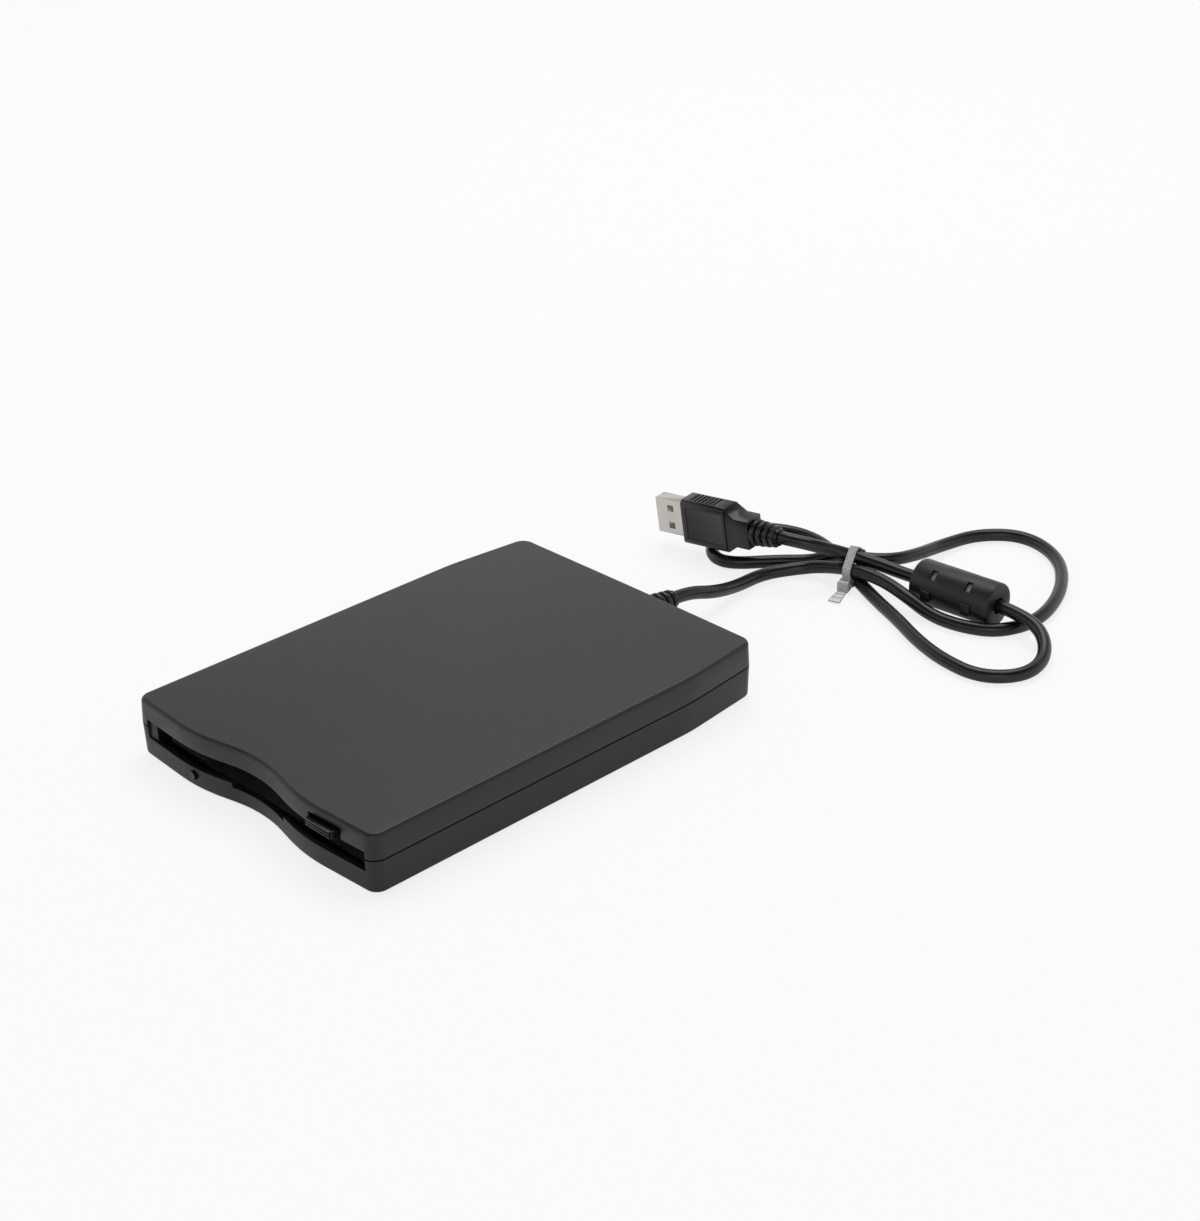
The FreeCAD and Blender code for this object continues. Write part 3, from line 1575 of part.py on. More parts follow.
def plug_contacts():
    near, _ = tongue_faces()
    strips = []
    for i in range(contact_count):
        z = (i - (contact_count - 1) / 2) * contact_pitch
        strips.append(box(-plug_shell_reach + contact_setback, -1.0, near - contact_thickness, near,
                          z - contact_width / 2, z + contact_width / 2))
    return placed(group(strips), plug_frame())


def grip_section(x, half_thickness, half_width):
    corners = [V(x, -half_thickness, -half_width), V(x, half_thickness, -half_width),
               V(x, half_thickness, half_width), V(x, -half_thickness, half_width)]
    return Part.makePolygon(corners + corners[:1])


def grip_side_cuts(side):
    """Finger ridges on one narrow side and the sunken panel on one wide side."""
    w = grip_width / 2
    t = grip_thickness / 2
    cuts = []
    for i in range(grip_groove_count):
        x = grip_ridge_start + i * grip_ridge_pitch
        z0 = w - grip_ridge_depth if side > 0 else -w - 1
        z1 = w + 1 if side > 0 else -w + grip_ridge_depth
        cuts.append(box(x, x + grip_ridge_pitch / 2, -t + grip_edge_round, t - grip_edge_round, z0, z1))
    y0 = t - grip_panel_depth if side > 0 else -t - 1
    y1 = t + 1 if side > 0 else -t + grip_panel_depth
    cuts.append(box(grip_panel_front, grip_length - grip_panel_rear, y0, y1,
                    -w + grip_panel_side, w - grip_panel_side))
    return cuts


def sleeve_grooves():
    grooves = []
    for i in range(sleeve_groove_count):
        along = sleeve_groove_start + i * sleeve_groove_pitch
        radius = plug_relief_root + (plug_relief_tip - plug_relief_root) * along / plug_relief_length
        grooves.append(Part.makeTorus(radius + sleeve_groove_lift, sleeve_groove_radius,
                                      V(grip_neck_end + along, 0, 0), along_x))
    return grooves


def plug_grip():
    w = grip_width / 2
    t = grip_thickness / 2
    neck_w = grip_neck_width / 2
    neck_t = grip_neck_thickness / 2
    body = box(0, grip_length, -t, t, -w, w)
    edges = [e for e in body.Edges if e.BoundBox.XLength > 1]
    body = body.makeFillet(grip_edge_round, edges)
    shoulder_end = grip_length + grip_shoulder
    shoulder = Part.makeLoft([grip_section(grip_length - 0.01, t - shoulder_step, w - shoulder_step),
                              grip_section(shoulder_end, neck_t, neck_w)], True, True)
    neck = box(shoulder_end - 0.01, grip_neck_end, -neck_t, neck_t, -neck_w, neck_w)
    sleeve = Part.makeCone(plug_relief_root, plug_relief_tip, plug_relief_length,
                           V(grip_neck_end - 0.01, 0, 0), along_x)
    body = join([body, shoulder, neck, sleeve])
    half_t = plug_shell_thickness / 2 + shell_seat_fit
    half_w = plug_shell_width / 2 + shell_seat_fit
    seat = box(-1, plug_shell_root + shell_seat_play, -half_t, half_t, -half_w, half_w)
    return placed(body.cut(grip_side_cuts(-1) + grip_side_cuts(1) + sleeve_grooves() + [seat]), plug_frame())


nodes = {
    "lower_shell": lower_shell,
    "upper_shell": upper_shell,
    "rubber_feet": rubber_feet,
    "case_screws": case_screws,
    "drive_screws": drive_screws,
    "led_lens": led_lens,
    "main_board": main_board,
    "board_parts": board_parts,
    "chassis": chassis,
    "top_cover": top_cover,
    "eject_slider": eject_slider,
    "eject_button": eject_button,
    "disk_cradle": disk_cradle,
    "shutter_lever": shutter_lever,
    "left_slider_spring": lambda: slider_spring(-1),
    "right_slider_spring": lambda: slider_spring(1),
    "spindle_rotor": spindle_rotor,
    "rotor_magnet": rotor_magnet,
    "chuck_hub": chuck_hub,
    "drive_pin": drive_pin,
    "spindle_bearing": spindle_bearing,
    "stator_core": stator_core,
    "stator_coils": stator_coils,
    "head_carriage": head_carriage,
    "lower_head": lower_head,
    "upper_arm": upper_arm,
    "upper_head": upper_head,
    "arm_pivot_pin": arm_pivot_pin,
    "arm_spring": arm_spring,
    "guide_rods": guide_rods,
    "motor_bracket": motor_bracket,
    "stepper_motor": stepper_motor,
    "lead_screw": lead_screw,
    "zero_sensor": zero_sensor,
    "sensor_bodies": sensor_bodies,
    "write_plunger": lambda: plunger(write_sensor_offset),
    "density_plunger": lambda: plunger(density_sensor_offset),
    "disk_plunger": lambda: plunger(disk_sensor_offset),
    "bridge_board": bridge_board,
    "bridge_parts": bridge_parts,
    "drive_socket": drive_socket,
    "bridge_plug": bridge_plug,
    "cord_header": cord_header,
    "cord_leads": cord_leads,
    "strain_relief": strain_relief,
    "cord": cord,
    "ferrite_upper_housing": lambda: ferrite_housing(True),
    "ferrite_lower_housing": lambda: ferrite_housing(False),
    "ferrite_core": ferrite_core,
    "cord_tie": cord_tie,
    "plug_shell": plug_shell,
    "plug_tongue": plug_tongue,
    "plug_contacts": plug_contacts,
    "plug_grip": plug_grip,
}

for name, make in nodes.items():
    shape = make()
    save(name, shape)
    solids = shape.Solids
    if not shape.isValid() or not solids:
        print("check", name, "valid", shape.isValid(), "solids", len(solids))
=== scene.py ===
import json
import math

import bmesh
import bpy
from mathutils import Matrix, Vector

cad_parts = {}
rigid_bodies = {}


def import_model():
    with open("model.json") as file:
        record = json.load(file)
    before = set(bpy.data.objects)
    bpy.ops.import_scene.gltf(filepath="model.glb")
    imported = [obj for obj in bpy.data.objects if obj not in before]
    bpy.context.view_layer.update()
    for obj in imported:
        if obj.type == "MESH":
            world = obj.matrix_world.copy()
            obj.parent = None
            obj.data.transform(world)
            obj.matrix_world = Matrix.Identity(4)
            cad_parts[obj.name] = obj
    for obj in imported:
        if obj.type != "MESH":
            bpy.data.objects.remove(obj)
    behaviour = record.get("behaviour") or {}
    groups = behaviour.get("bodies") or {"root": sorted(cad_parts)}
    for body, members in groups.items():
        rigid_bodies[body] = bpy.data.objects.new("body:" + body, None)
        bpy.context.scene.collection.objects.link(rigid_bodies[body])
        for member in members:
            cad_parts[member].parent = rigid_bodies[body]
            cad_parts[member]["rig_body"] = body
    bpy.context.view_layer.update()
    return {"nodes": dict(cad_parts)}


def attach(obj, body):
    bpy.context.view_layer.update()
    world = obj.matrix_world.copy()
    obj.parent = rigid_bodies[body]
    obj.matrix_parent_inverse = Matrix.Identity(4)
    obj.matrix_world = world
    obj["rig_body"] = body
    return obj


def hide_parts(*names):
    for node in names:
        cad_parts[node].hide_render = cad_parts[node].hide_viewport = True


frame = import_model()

nodes = frame["nodes"]
mm = 0.001
scene = bpy.context.scene
scene.view_settings.view_transform = "Standard"
print("frame loaded:", len(nodes), "nodes")


# Shader node helpers: a value is set on the socket, an output is linked to it
def fillSocket(tree, socket, value):
    if isinstance(value, bpy.types.NodeSocket):
        tree.links.new(value, socket)
    else:
        socket.default_value = value


def mathNode(tree, operation, first, second=0.0, clamp=False):
    node = tree.nodes.new("ShaderNodeMath")
    node.operation = operation
    node.use_clamp = clamp
    fillSocket(tree, node.inputs[0], first)
    fillSocket(tree, node.inputs[1], second)
    return node.outputs[0]


def noiseNode(tree, vector, scale, detail, roughness=0.5):
    node = tree.nodes.new("ShaderNodeTexNoise")
    node.inputs["Detail"].default_value = detail
    node.inputs["Roughness"].default_value = roughness
    fillSocket(tree, node.inputs["Scale"], scale)
    tree.links.new(vector, node.inputs["Vector"])
    return node.outputs["Fac"]


def mixColour(tree, share, first, second):
    node = tree.nodes.new("ShaderNodeMix")
    node.data_type = "RGBA"
    tree.links.new(share, node.inputs["Factor"])
    fillSocket(tree, node.inputs["A"], first)
    fillSocket(tree, node.inputs["B"], second)
    return node.outputs["Result"]


# Camera, fitted to the photo
cameraSetup = {
    "azimuth": 46.691,
    "elevation": 27.471,
    "roll": -1.246,
    "distance": 0.708562,
    "target": (-0.007791, 0.064233, 0.0096),
    "lens": 70.06,
    "sensor": 36.0,
    "clipStart": 0.01,
}


def addCamera(setup):
    turn = Matrix.Rotation(math.radians(setup["azimuth"]), 4, "Z")
    turn = turn @ Matrix.Rotation(math.radians(90 - setup["elevation"]), 4, "X")
    turn = turn @ Matrix.Rotation(math.radians(setup["roll"]), 4, "Z")
    place = Vector(setup["target"]) + (turn @ Vector((0, 0, 1))) * setup["distance"]
    bpy.ops.object.camera_add(location=place, rotation=turn.to_euler())
    camera = bpy.context.object
    camera.name = "photoCamera"
    camera.data.sensor_fit = "VERTICAL"
    camera.data.sensor_height = setup["sensor"]
    camera.data.lens = setup["lens"]
    camera.data.clip_start = setup["clipStart"]
    scene.camera = camera


addCamera(cameraSetup)

# White paper under soft boxes; what a surface mirrors is white low down and dark overhead
worldSetup = {
    "strength": 0.55,
    "horizonGloss": 1.0,
    "zenithGloss": 0.06,
    "glossFade": (0.3, 0.85),
}
softBoxes = {
    "overheadBox": {"place": (-0.35, 0.55, 1.35), "power": 9.5, "size": 1.0},
    "fillBox": {"place": (0.9, -0.7, 0.9), "power": 1.4, "size": 0.7},
}
lampTarget = (0, 0.05, 0)
floorSetup = {
    "colour": (0.9, 0.9, 0.9, 1),
    "glow": 0.8,
    "mirroredGlow": 0.45,
    "half": 3.0,
}
white = (1, 1, 1, 1)


# 1 for rays from the camera or through a clear piece, and a chosen share for mirrored rays
def seenDirectly(tree, mirrored=1.0):
    path = tree.nodes.new("ShaderNodeLightPath")
    glossy = mathNode(tree, "MULTIPLY", path.outputs["Is Glossy Ray"], mirrored)
    seen = mathNode(tree, "ADD", path.outputs["Is Camera Ray"], glossy)
    return mathNode(tree, "ADD", seen, path.outputs["Is Transmission Ray"], True)


def addWorld(setup):
    world = bpy.data.worlds.new("studio")
    scene.world = world
    world.use_nodes = True
    tree = world.node_tree
    tree.nodes.clear()
    lit = tree.nodes.new("ShaderNodeBackground")
    lit.inputs["Color"].default_value = white
    lit.inputs["Strength"].default_value = setup["strength"]
    backdrop = tree.nodes.new("ShaderNodeBackground")
    fade = tree.nodes.new("ShaderNodeMapRange")
    fade.inputs["From Min"].default_value = setup["glossFade"][0]
    fade.inputs["From Max"].default_value = setup["glossFade"][1]
    fade.inputs["To Min"].default_value = setup["horizonGloss"]
    fade.inputs["To Max"].default_value = setup["zenithGloss"]
    place = tree.nodes.new("ShaderNodeTexCoord")
    split = tree.nodes.new("ShaderNodeSeparateXYZ")
    mix = tree.nodes.new("ShaderNodeMixShader")
    out = tree.nodes.new("ShaderNodeOutputWorld")
    tree.links.new(place.outputs["Generated"], split.inputs[0])
    tree.links.new(split.outputs["Z"], fade.inputs["Value"])
    tree.links.new(fade.outputs["Result"], backdrop.inputs["Color"])
    tree.links.new(seenDirectly(tree), mix.inputs[0])
    tree.links.new(lit.outputs[0], mix.inputs[1])
    tree.links.new(backdrop.outputs[0], mix.inputs[2])
    tree.links.new(mix.outputs[0], out.inputs["Surface"])


def addSoftBox(name, setup):
    aim = (Vector(lampTarget) - Vector(setup["place"])).to_track_quat("-Z", "Y").to_euler()
    bpy.ops.object.light_add(type="AREA", location=setup["place"], rotation=aim)
    lamp = bpy.context.object
    lamp.name = name
    lamp.data.energy = setup["power"]
    lamp.data.shape = "SQUARE"
    lamp.data.size = setup["size"]


def addFloor(setup):
    bpy.ops.mesh.primitive_plane_add(size=2 * setup["half"], location=(0, 0, 0))
    floor = bpy.context.object
    floor.name = "floor"
    material = bpy.data.materials.new("floorPaper")
    material.use_nodes = True
    tree = material.node_tree
    tree.nodes.clear()
    paper = tree.nodes.new("ShaderNodeBsdfDiffuse")
    paper.inputs["Color"].default_value = setup["colour"]
    glow = tree.nodes.new("ShaderNodeEmission")
    glow.inputs["Color"].default_value = white
    mix = tree.nodes.new("ShaderNodeMixShader")
    out = tree.nodes.new("ShaderNodeOutputMaterial")
    seen = seenDirectly(tree, setup["mirroredGlow"])
    tree.links.new(mathNode(tree, "MULTIPLY", seen, setup["glow"]), mix.inputs[0])
    tree.links.new(paper.outputs[0], mix.inputs[1])
    tree.links.new(glow.outputs[0], mix.inputs[2])
    tree.links.new(mix.outputs[0], out.inputs["Surface"])
    floor.data.materials.append(material)


addWorld(worldSetup)
for name, setup in softBoxes.items():
    addSoftBox(name, setup)
addFloor(floorSetup)
print("camera, lamps and floor ready")


def newGroup(name, inputs, outputs):
    group = bpy.data.node_groups.new(name, "ShaderNodeTree")
    for label, kind, value in inputs:
        socket = group.interface.new_socket(name=label, in_out="INPUT", socket_type=kind)
        socket.default_value = value
    for label, kind in outputs:
        group.interface.new_socket(name=label, in_out="OUTPUT", socket_type=kind)
    source = group.nodes.new("NodeGroupInput")
    sink = group.nodes.new("NodeGroupOutput")
    return group, source, sink


groupOutputs = [
    ("Colour", "NodeSocketColor"),
    ("Roughness", "NodeSocketFloat"),
    ("Height", "NodeSocketFloat"),
]

# Moulded surface: spark-eroded grain, slow mottling and a few rubbed patches
skinPattern = {"grainDetail": 2, "patchDetail": 4, "patchRoughness": 0.6, "rubbedContrast": 4.0,
               "speckle": 0.6}


def makeSkinGroup(pattern):
    group, source, sink = newGroup(
        "mouldedSkin",
        [
            ("Colour", "NodeSocketColor", (0.02, 0.02, 0.02, 1)),
            ("Rubbed Colour", "NodeSocketColor", (0.05, 0.05, 0.05, 1)),
            ("Grain Scale", "NodeSocketFloat", 3000),
            ("Grain Height", "NodeSocketFloat", 1.0),
            ("Patch Scale", "NodeSocketFloat", 30),
            ("Roughness", "NodeSocketFloat", 0.45),
            ("Roughness Spread", "NodeSocketFloat", 0.1),
            ("Wear", "NodeSocketFloat", 0.2),
        ],
        groupOutputs,
    )
    place = group.nodes.new("ShaderNodeTexCoord").outputs["Object"]
    grain = noiseNode(group, place, source.outputs["Grain Scale"], pattern["grainDetail"])
    patches = noiseNode(group, place, source.outputs["Patch Scale"], pattern["patchDetail"],
                        pattern["patchRoughness"])
    patchSwing = mathNode(group, "SUBTRACT", patches, 0.5)  # noise lies around a half
    grainSwing = mathNode(group, "SUBTRACT", grain, 0.5)
    rubbed = mathNode(group, "MULTIPLY", patchSwing, pattern["rubbedContrast"], True)
    rubbed = mathNode(group, "MULTIPLY", rubbed, source.outputs["Wear"])
    colour = mixColour(group, rubbed, source.outputs["Colour"], source.outputs["Rubbed Colour"])
    speckle = mathNode(group, "MULTIPLY", grainSwing, pattern["speckle"])
    spread = mathNode(group, "ADD", patchSwing, speckle)
    spread = mathNode(group, "MULTIPLY", spread, source.outputs["Roughness Spread"])
    roughness = mathNode(group, "ADD", spread, source.outputs["Roughness"], True)
    height = mathNode(group, "MULTIPLY", grain, source.outputs["Grain Height"])
    group.links.new(colour, sink.inputs["Colour"])
    group.links.new(roughness, sink.inputs["Roughness"])
    group.links.new(height, sink.inputs["Height"])
    return group


# Rolled or drawn metal: lines along one direction and dull stains
metalPattern = {"lineDetail": 3, "stainScale": 120.0, "stainDetail": 5, "stainRoughness": 0.65,
                "stainStart": 0.42, "stainContrast": 3.0}


def makeMetalGroup(pattern):
    group, source, sink = newGroup(
        "workedMetal",
        [
            ("Colour", "NodeSocketColor", (0.6, 0.6, 0.6, 1)),
            ("Stain Colour", "NodeSocketColor", (0.4, 0.38, 0.35, 1)),
            ("Line Stretch", "NodeSocketVector", (1, 0.05, 1)),
            ("Line Scale", "NodeSocketFloat", 1500),
            ("Line Height", "NodeSocketFloat", 1.0),
            ("Stain", "NodeSocketFloat", 0.3),
            ("Roughness", "NodeSocketFloat", 0.3),
            ("Roughness Spread", "NodeSocketFloat", 0.2),
        ],
        groupOutputs,
    )
    place = group.nodes.new("ShaderNodeTexCoord").outputs["Object"]
    stretch = group.nodes.new("ShaderNodeVectorMath")
    stretch.operation = "MULTIPLY"
    group.links.new(place, stretch.inputs[0])
    group.links.new(source.outputs["Line Stretch"], stretch.inputs[1])
    lines = noiseNode(group, stretch.outputs[0], source.outputs["Line Scale"],
                      pattern["lineDetail"])
    stains = noiseNode(group, place, pattern["stainScale"], pattern["stainDetail"],
                       pattern["stainRoughness"])
    share = mathNode(group, "SUBTRACT", stains, pattern["stainStart"])
    share = mathNode(group, "MULTIPLY", share, pattern["stainContrast"], True)
    share = mathNode(group, "MULTIPLY", share, source.outputs["Stain"])
    colour = mixColour(group, share, source.outputs["Colour"], source.outputs["Stain Colour"])
    spread = mathNode(group, "SUBTRACT", mathNode(group, "ADD", lines, stains), 1.0)
    spread = mathNode(group, "MULTIPLY", spread, source.outputs["Roughness Spread"])
    roughness = mathNode(group, "ADD", spread, source.outputs["Roughness"], True)
    height = mathNode(group, "MULTIPLY", lines, source.outputs["Line Height"])
    group.links.new(colour, sink.inputs["Colour"])
    group.links.new(roughness, sink.inputs["Roughness"])
    group.links.new(height, sink.inputs["Height"])
    return group


skinGroup = makeSkinGroup(skinPattern)
metalGroup = makeMetalGroup(metalPattern)


def grey(level, tint=(1, 1, 1)):
    return (level * tint[0], level * tint[1], level * tint[2], 1)


# Moulded finishes, from the case to the board's green solder mask and the lens of the light, whose
# near-black colour is painted shade of its recess
mouldedFinishes = {
    "case_plastic": {
        "colour": grey(0.0065, (1, 0.98, 1.12)), "rubbed": grey(0.0095, (1, 1, 1.05)),
        "grain": 5200, "depth": 0.012, "patch": 22,
        "roughness": 0.41, "spread": 0.10, "wear": 0.5, "ior": 1.46,
    },
    "button_plastic": {
        "colour": grey(0.004), "rubbed": grey(0.009),
        "grain": 2600, "depth": 0.006, "patch": 160,
        "roughness": 0.27, "spread": 0.16, "wear": 0.6, "ior": 1.5,
    },
    "foot_rubber": {
        "colour": grey(0.014), "rubbed": grey(0.05, (1, 0.97, 0.93)),
        "grain": 2400, "depth": 0.03, "patch": 260,
        "roughness": 0.82, "spread": 0.16, "wear": 0.7, "ior": 1.5,
    },
    "chip_plastic": {
        "colour": grey(0.018), "rubbed": grey(0.034),
        "grain": 6000, "depth": 0.01, "patch": 400,
        "roughness": 0.55, "spread": 0.2, "wear": 0.5, "ior": 1.5,
    },
    "white_plastic": {
        "colour": grey(0.72, (1, 0.99, 0.95)), "rubbed": grey(0.56, (1, 0.95, 0.85)),
        "grain": 3000, "depth": 0.008, "patch": 300,
        "roughness": 0.42, "spread": 0.12, "wear": 0.4, "ior": 1.5,
    },
    "grey_plastic": {
        "colour": grey(0.10, (1, 1, 1.05)), "rubbed": grey(0.17),
        "grain": 3000, "depth": 0.01, "patch": 300,
        "roughness": 0.48, "spread": 0.14, "wear": 0.4, "ior": 1.5,
    },
    "cord_vinyl": {
        "colour": grey(0.0045), "rubbed": grey(0.009),
        "grain": 1800, "depth": 0.003, "patch": 60,
        "roughness": 0.27, "spread": 0.14, "wear": 0.6, "ior": 1.46,
    },
    "tie_vinyl": {
        "colour": grey(0.86, (0.98, 0.98, 1)), "rubbed": grey(0.74, (0.96, 0.97, 1)),
        "grain": 2200, "depth": 0.02, "patch": 240,
        "roughness": 0.38, "spread": 0.16, "wear": 0.6, "ior": 1.5,
    },
    "ferrite": {
        "colour": grey(0.3, (0.97, 0.99, 1)), "rubbed": grey(0.46),
        "grain": 5000, "depth": 0.03, "patch": 260,
        "roughness": 0.6, "spread": 0.2, "wear": 0.8, "ior": 2.0,
    },
    "magnet_compound": {
        "colour": grey(0.05, (1, 0.95, 0.9)), "rubbed": grey(0.11),
        "grain": 4000, "depth": 0.03, "patch": 200,
        "roughness": 0.65, "spread": 0.2, "wear": 0.6, "ior": 1.5,
    },
    "board_laminate": {
        "colour": (0.006, 0.03, 0.012, 1), "rubbed": (0.012, 0.055, 0.02, 1),
        "grain": 3500, "depth": 0.01, "patch": 220,
        "roughness": 0.3, "spread": 0.15, "wear": 0.4, "ior": 1.5,
    },
    # The clear lens is coloured near-black as painted shade of the dark recess it sits in; a little
    # of it stays clear
    "clear_lens": {
        "colour": (0.004, 0.0042, 0.004, 1), "rubbed": (0.008, 0.0085, 0.008, 1),
        "grain": 1500, "depth": 0.004, "patch": 500,
        "roughness": 0.1, "spread": 0.1, "wear": 0.5, "ior": 1.49, "clear": 0.15,
    },
}

metalFinishes = {
    "sheet_steel": {
        "colour": grey(0.55, (1, 1, 1.01)), "stain": grey(0.36, (1, 0.98, 0.95)),
        "stretch": (1, 0.03, 1), "scale": 1600, "height": 0.01, "stains": 0.4,
        "roughness": 0.36, "spread": 0.22,
    },
    "screw_steel": {
        "colour": grey(0.14, (1, 1, 1.05)), "stain": grey(0.05),
        "stretch": (1, 1, 1), "scale": 2500, "height": 0.01, "stains": 0.6,
        "roughness": 0.4, "spread": 0.25,
    },
    "turned_steel": {
        "colour": grey(0.62), "stain": grey(0.45, (1, 0.97, 0.93)),
        "stretch": (0.04, 1, 0.04), "scale": 3000, "height": 0.008, "stains": 0.3,
        "roughness": 0.24, "spread": 0.18,
    },
    "spring_steel": {
        "colour": grey(0.48, (1, 0.99, 0.97)), "stain": grey(0.28, (1, 0.95, 0.9)),
        "stretch": (1, 1, 1), "scale": 4000, "height": 0.006, "stains": 0.5,
        "roughness": 0.28, "spread": 0.2,
    },
    "nickel": {
        "colour": grey(0.56, (1, 0.96, 0.90)), "stain": grey(0.42, (1, 0.94, 0.86)),
        "stretch": (0.05, 1, 1), "scale": 1800, "height": 0.004, "stains": 0.35,
        "roughness": 0.25, "spread": 0.16,
    },
    "copper_wire": {
        "colour": (0.72, 0.28, 0.12, 1), "stain": (0.42, 0.13, 0.05, 1),
        "stretch": (1, 1, 1), "scale": 4200, "height": 0.02, "stains": 0.5,
        "roughness": 0.34, "spread": 0.2,
    },
    "contact_gold": {
        "colour": (0.86, 0.58, 0.22, 1), "stain": (0.6, 0.38, 0.14, 1),
        "stretch": (0.05, 1, 1), "scale": 2600, "height": 0.004, "stains": 0.3,
        "roughness": 0.22, "spread": 0.15,
    },
    "cast_alloy": {
        "colour": grey(0.42, (1, 1, 1.02)), "stain": grey(0.27),
        "stretch": (1, 1, 1), "scale": 2600, "height": 0.05, "stains": 0.6,
        "roughness": 0.5, "spread": 0.22,
    },
}
bumpReach = 0.0004


def startMaterial(name, group, values):
    material = bpy.data.materials.new(name)
    material.use_nodes = True
    tree = material.node_tree
    shader = tree.nodes["Principled BSDF"]
    surface = tree.nodes.new("ShaderNodeGroup")
    surface.name = "surface"
    surface.node_tree = group
    for label, value in values.items():
        surface.inputs[label].default_value = value
    bump = tree.nodes.new("ShaderNodeBump")
    bump.inputs["Strength"].default_value = 1.0
    bump.inputs["Distance"].default_value = bumpReach
    tree.links.new(surface.outputs["Colour"], shader.inputs["Base Color"])
    tree.links.new(surface.outputs["Roughness"], shader.inputs["Roughness"])
    tree.links.new(surface.outputs["Height"], bump.inputs["Height"])
    tree.links.new(bump.outputs["Normal"], shader.inputs["Normal"])
    return material, shader


def mouldedMaterial(name, look):
    material, shader = startMaterial(name, skinGroup, {
        "Colour": look["colour"],
        "Rubbed Colour": look["rubbed"],
        "Grain Scale": look["grain"],
        "Grain Height": look["depth"],
        "Patch Scale": look["patch"],
        "Roughness": look["roughness"],
        "Roughness Spread": look["spread"],
        "Wear": look["wear"],
    })
    shader.inputs["IOR"].default_value = look["ior"]
    shader.inputs["Transmission Weight"].default_value = look.get("clear", 0.0)
    return material


def metalMaterial(name, look):
    material, shader = startMaterial(name, metalGroup, {
        "Colour": look["colour"],
        "Stain Colour": look["stain"],
        "Line Stretch": look["stretch"],
        "Line Scale": look["scale"],
        "Line Height": look["height"],
        "Stain": look["stains"],
        "Roughness": look["roughness"],
        "Roughness Spread": look["spread"],
    })
    shader.inputs["Metallic"].default_value = 1.0
    return material


finishes = {}
for name, look in mouldedFinishes.items():
    finishes[name] = mouldedMaterial(name, look)
for name, look in metalFinishes.items():
    finishes[name] = metalMaterial(name, look)

# Copper tracks under the board's green mask
boardTracks = {"colour": (0.012, 0.055, 0.02, 1), "second": (0.6, 0.6, 0.6, 1), "scale": 620.0,
               "gap": 0.08}


def addTracks(material, look):
    tree = material.node_tree
    place = tree.nodes.new("ShaderNodeTexCoord")
    cells = tree.nodes.new("ShaderNodeTexBrick")
    cells.inputs["Scale"].default_value = look["scale"]
    cells.inputs["Mortar Size"].default_value = look["gap"]
    cells.inputs["Color1"].default_value = white
    cells.inputs["Color2"].default_value = look["second"]
    cells.inputs["Mortar"].default_value = (0, 0, 0, 1)
    tree.links.new(place.outputs["Object"], cells.inputs["Vector"])
    mask = tree.nodes["surface"].outputs["Colour"]
    mixed = mixColour(tree, cells.outputs["Color"], look["colour"], mask)
    tree.links.new(mixed, tree.nodes["Principled BSDF"].inputs["Base Color"])


addTracks(finishes["board_laminate"], boardTracks)

# Cord tie: fine cross ribs that run round the loop
tieRibs = {"centre": (0.022, 0.1455, 0.0063), "heading": 20.0, "count": 46, "height": 2.2}


def addTieRibs(material, look):
    tree = material.node_tree
    place = tree.nodes.new("ShaderNodeTexCoord")
    turn = tree.nodes.new("ShaderNodeMapping")
    turn.vector_type = "TEXTURE"
    turn.inputs["Location"].default_value = look["centre"]
    turn.inputs["Rotation"].default_value = (math.radians(90), 0, math.radians(look["heading"] + 90))
    around = tree.nodes.new("ShaderNodeTexGradient")
    around.gradient_type = "RADIAL"
    tree.links.new(place.outputs["Object"], turn.inputs["Vector"])
    tree.links.new(turn.outputs["Vector"], around.inputs["Vector"])
    phase = mathNode(tree, "MULTIPLY", around.outputs["Fac"], 2 * math.pi * look["count"])
    ridge = mathNode(tree, "ABSOLUTE", mathNode(tree, "SINE", phase))
    ridge = mathNode(tree, "MULTIPLY", ridge, look["height"])
    grain = tree.nodes["surface"].outputs["Height"]
    tree.links.new(mathNode(tree, "ADD", ridge, grain), tree.nodes["Bump"].inputs["Height"])


addTieRibs(finishes["tie_vinyl"], tieRibs)

slotOf = {name: node.material_slots[0].material.name.split(".")[0] for name, node in nodes.items()}
for name, node in nodes.items():
    node.material_slots[0].material = finishes[slotOf[name]]
print("materials ready:", len(finishes))

# Tools that the pieces share, with lengths in millimetres
weld = 0.002
smoothAngle = 32.0
made = {}


def selectOnly(piece):
    bpy.ops.object.select_all(action="DESELECT")
    piece.select_set(True)
    bpy.context.view_layer.objects.active = piece


def applyAll(piece):
    selectOnly(piece)
    for modifier in list(piece.modifiers):
        bpy.ops.object.modifier_apply(modifier=modifier.name)


# The piece stands for that node on its body, and the node is hidden
def rideAs(piece, node):
    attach(piece, nodes[node]["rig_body"])
    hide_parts(node)


# A block between two corners, with its edges rounded
def addBlock(name, low, high, edge=0.0):
    size = [(b - a) * mm for a, b in zip(low, high)]
    middle = [(a + b) / 2 * mm for a, b in zip(low, high)]
    bpy.ops.mesh.primitive_cube_add(size=1, location=middle)
    block = bpy.context.object
    block.name = name
    block.scale = size
    bpy.ops.object.transform_apply(location=True, rotation=True, scale=True)
    if edge:
        bpy.ops.object.mode_set(mode="EDIT")
        bpy.ops.mesh.select_all(action="SELECT")
        bpy.ops.mesh.bevel(offset=edge * mm, segments=3, affect="EDGES")
        bpy.ops.object.mode_set(mode="OBJECT")
    return block


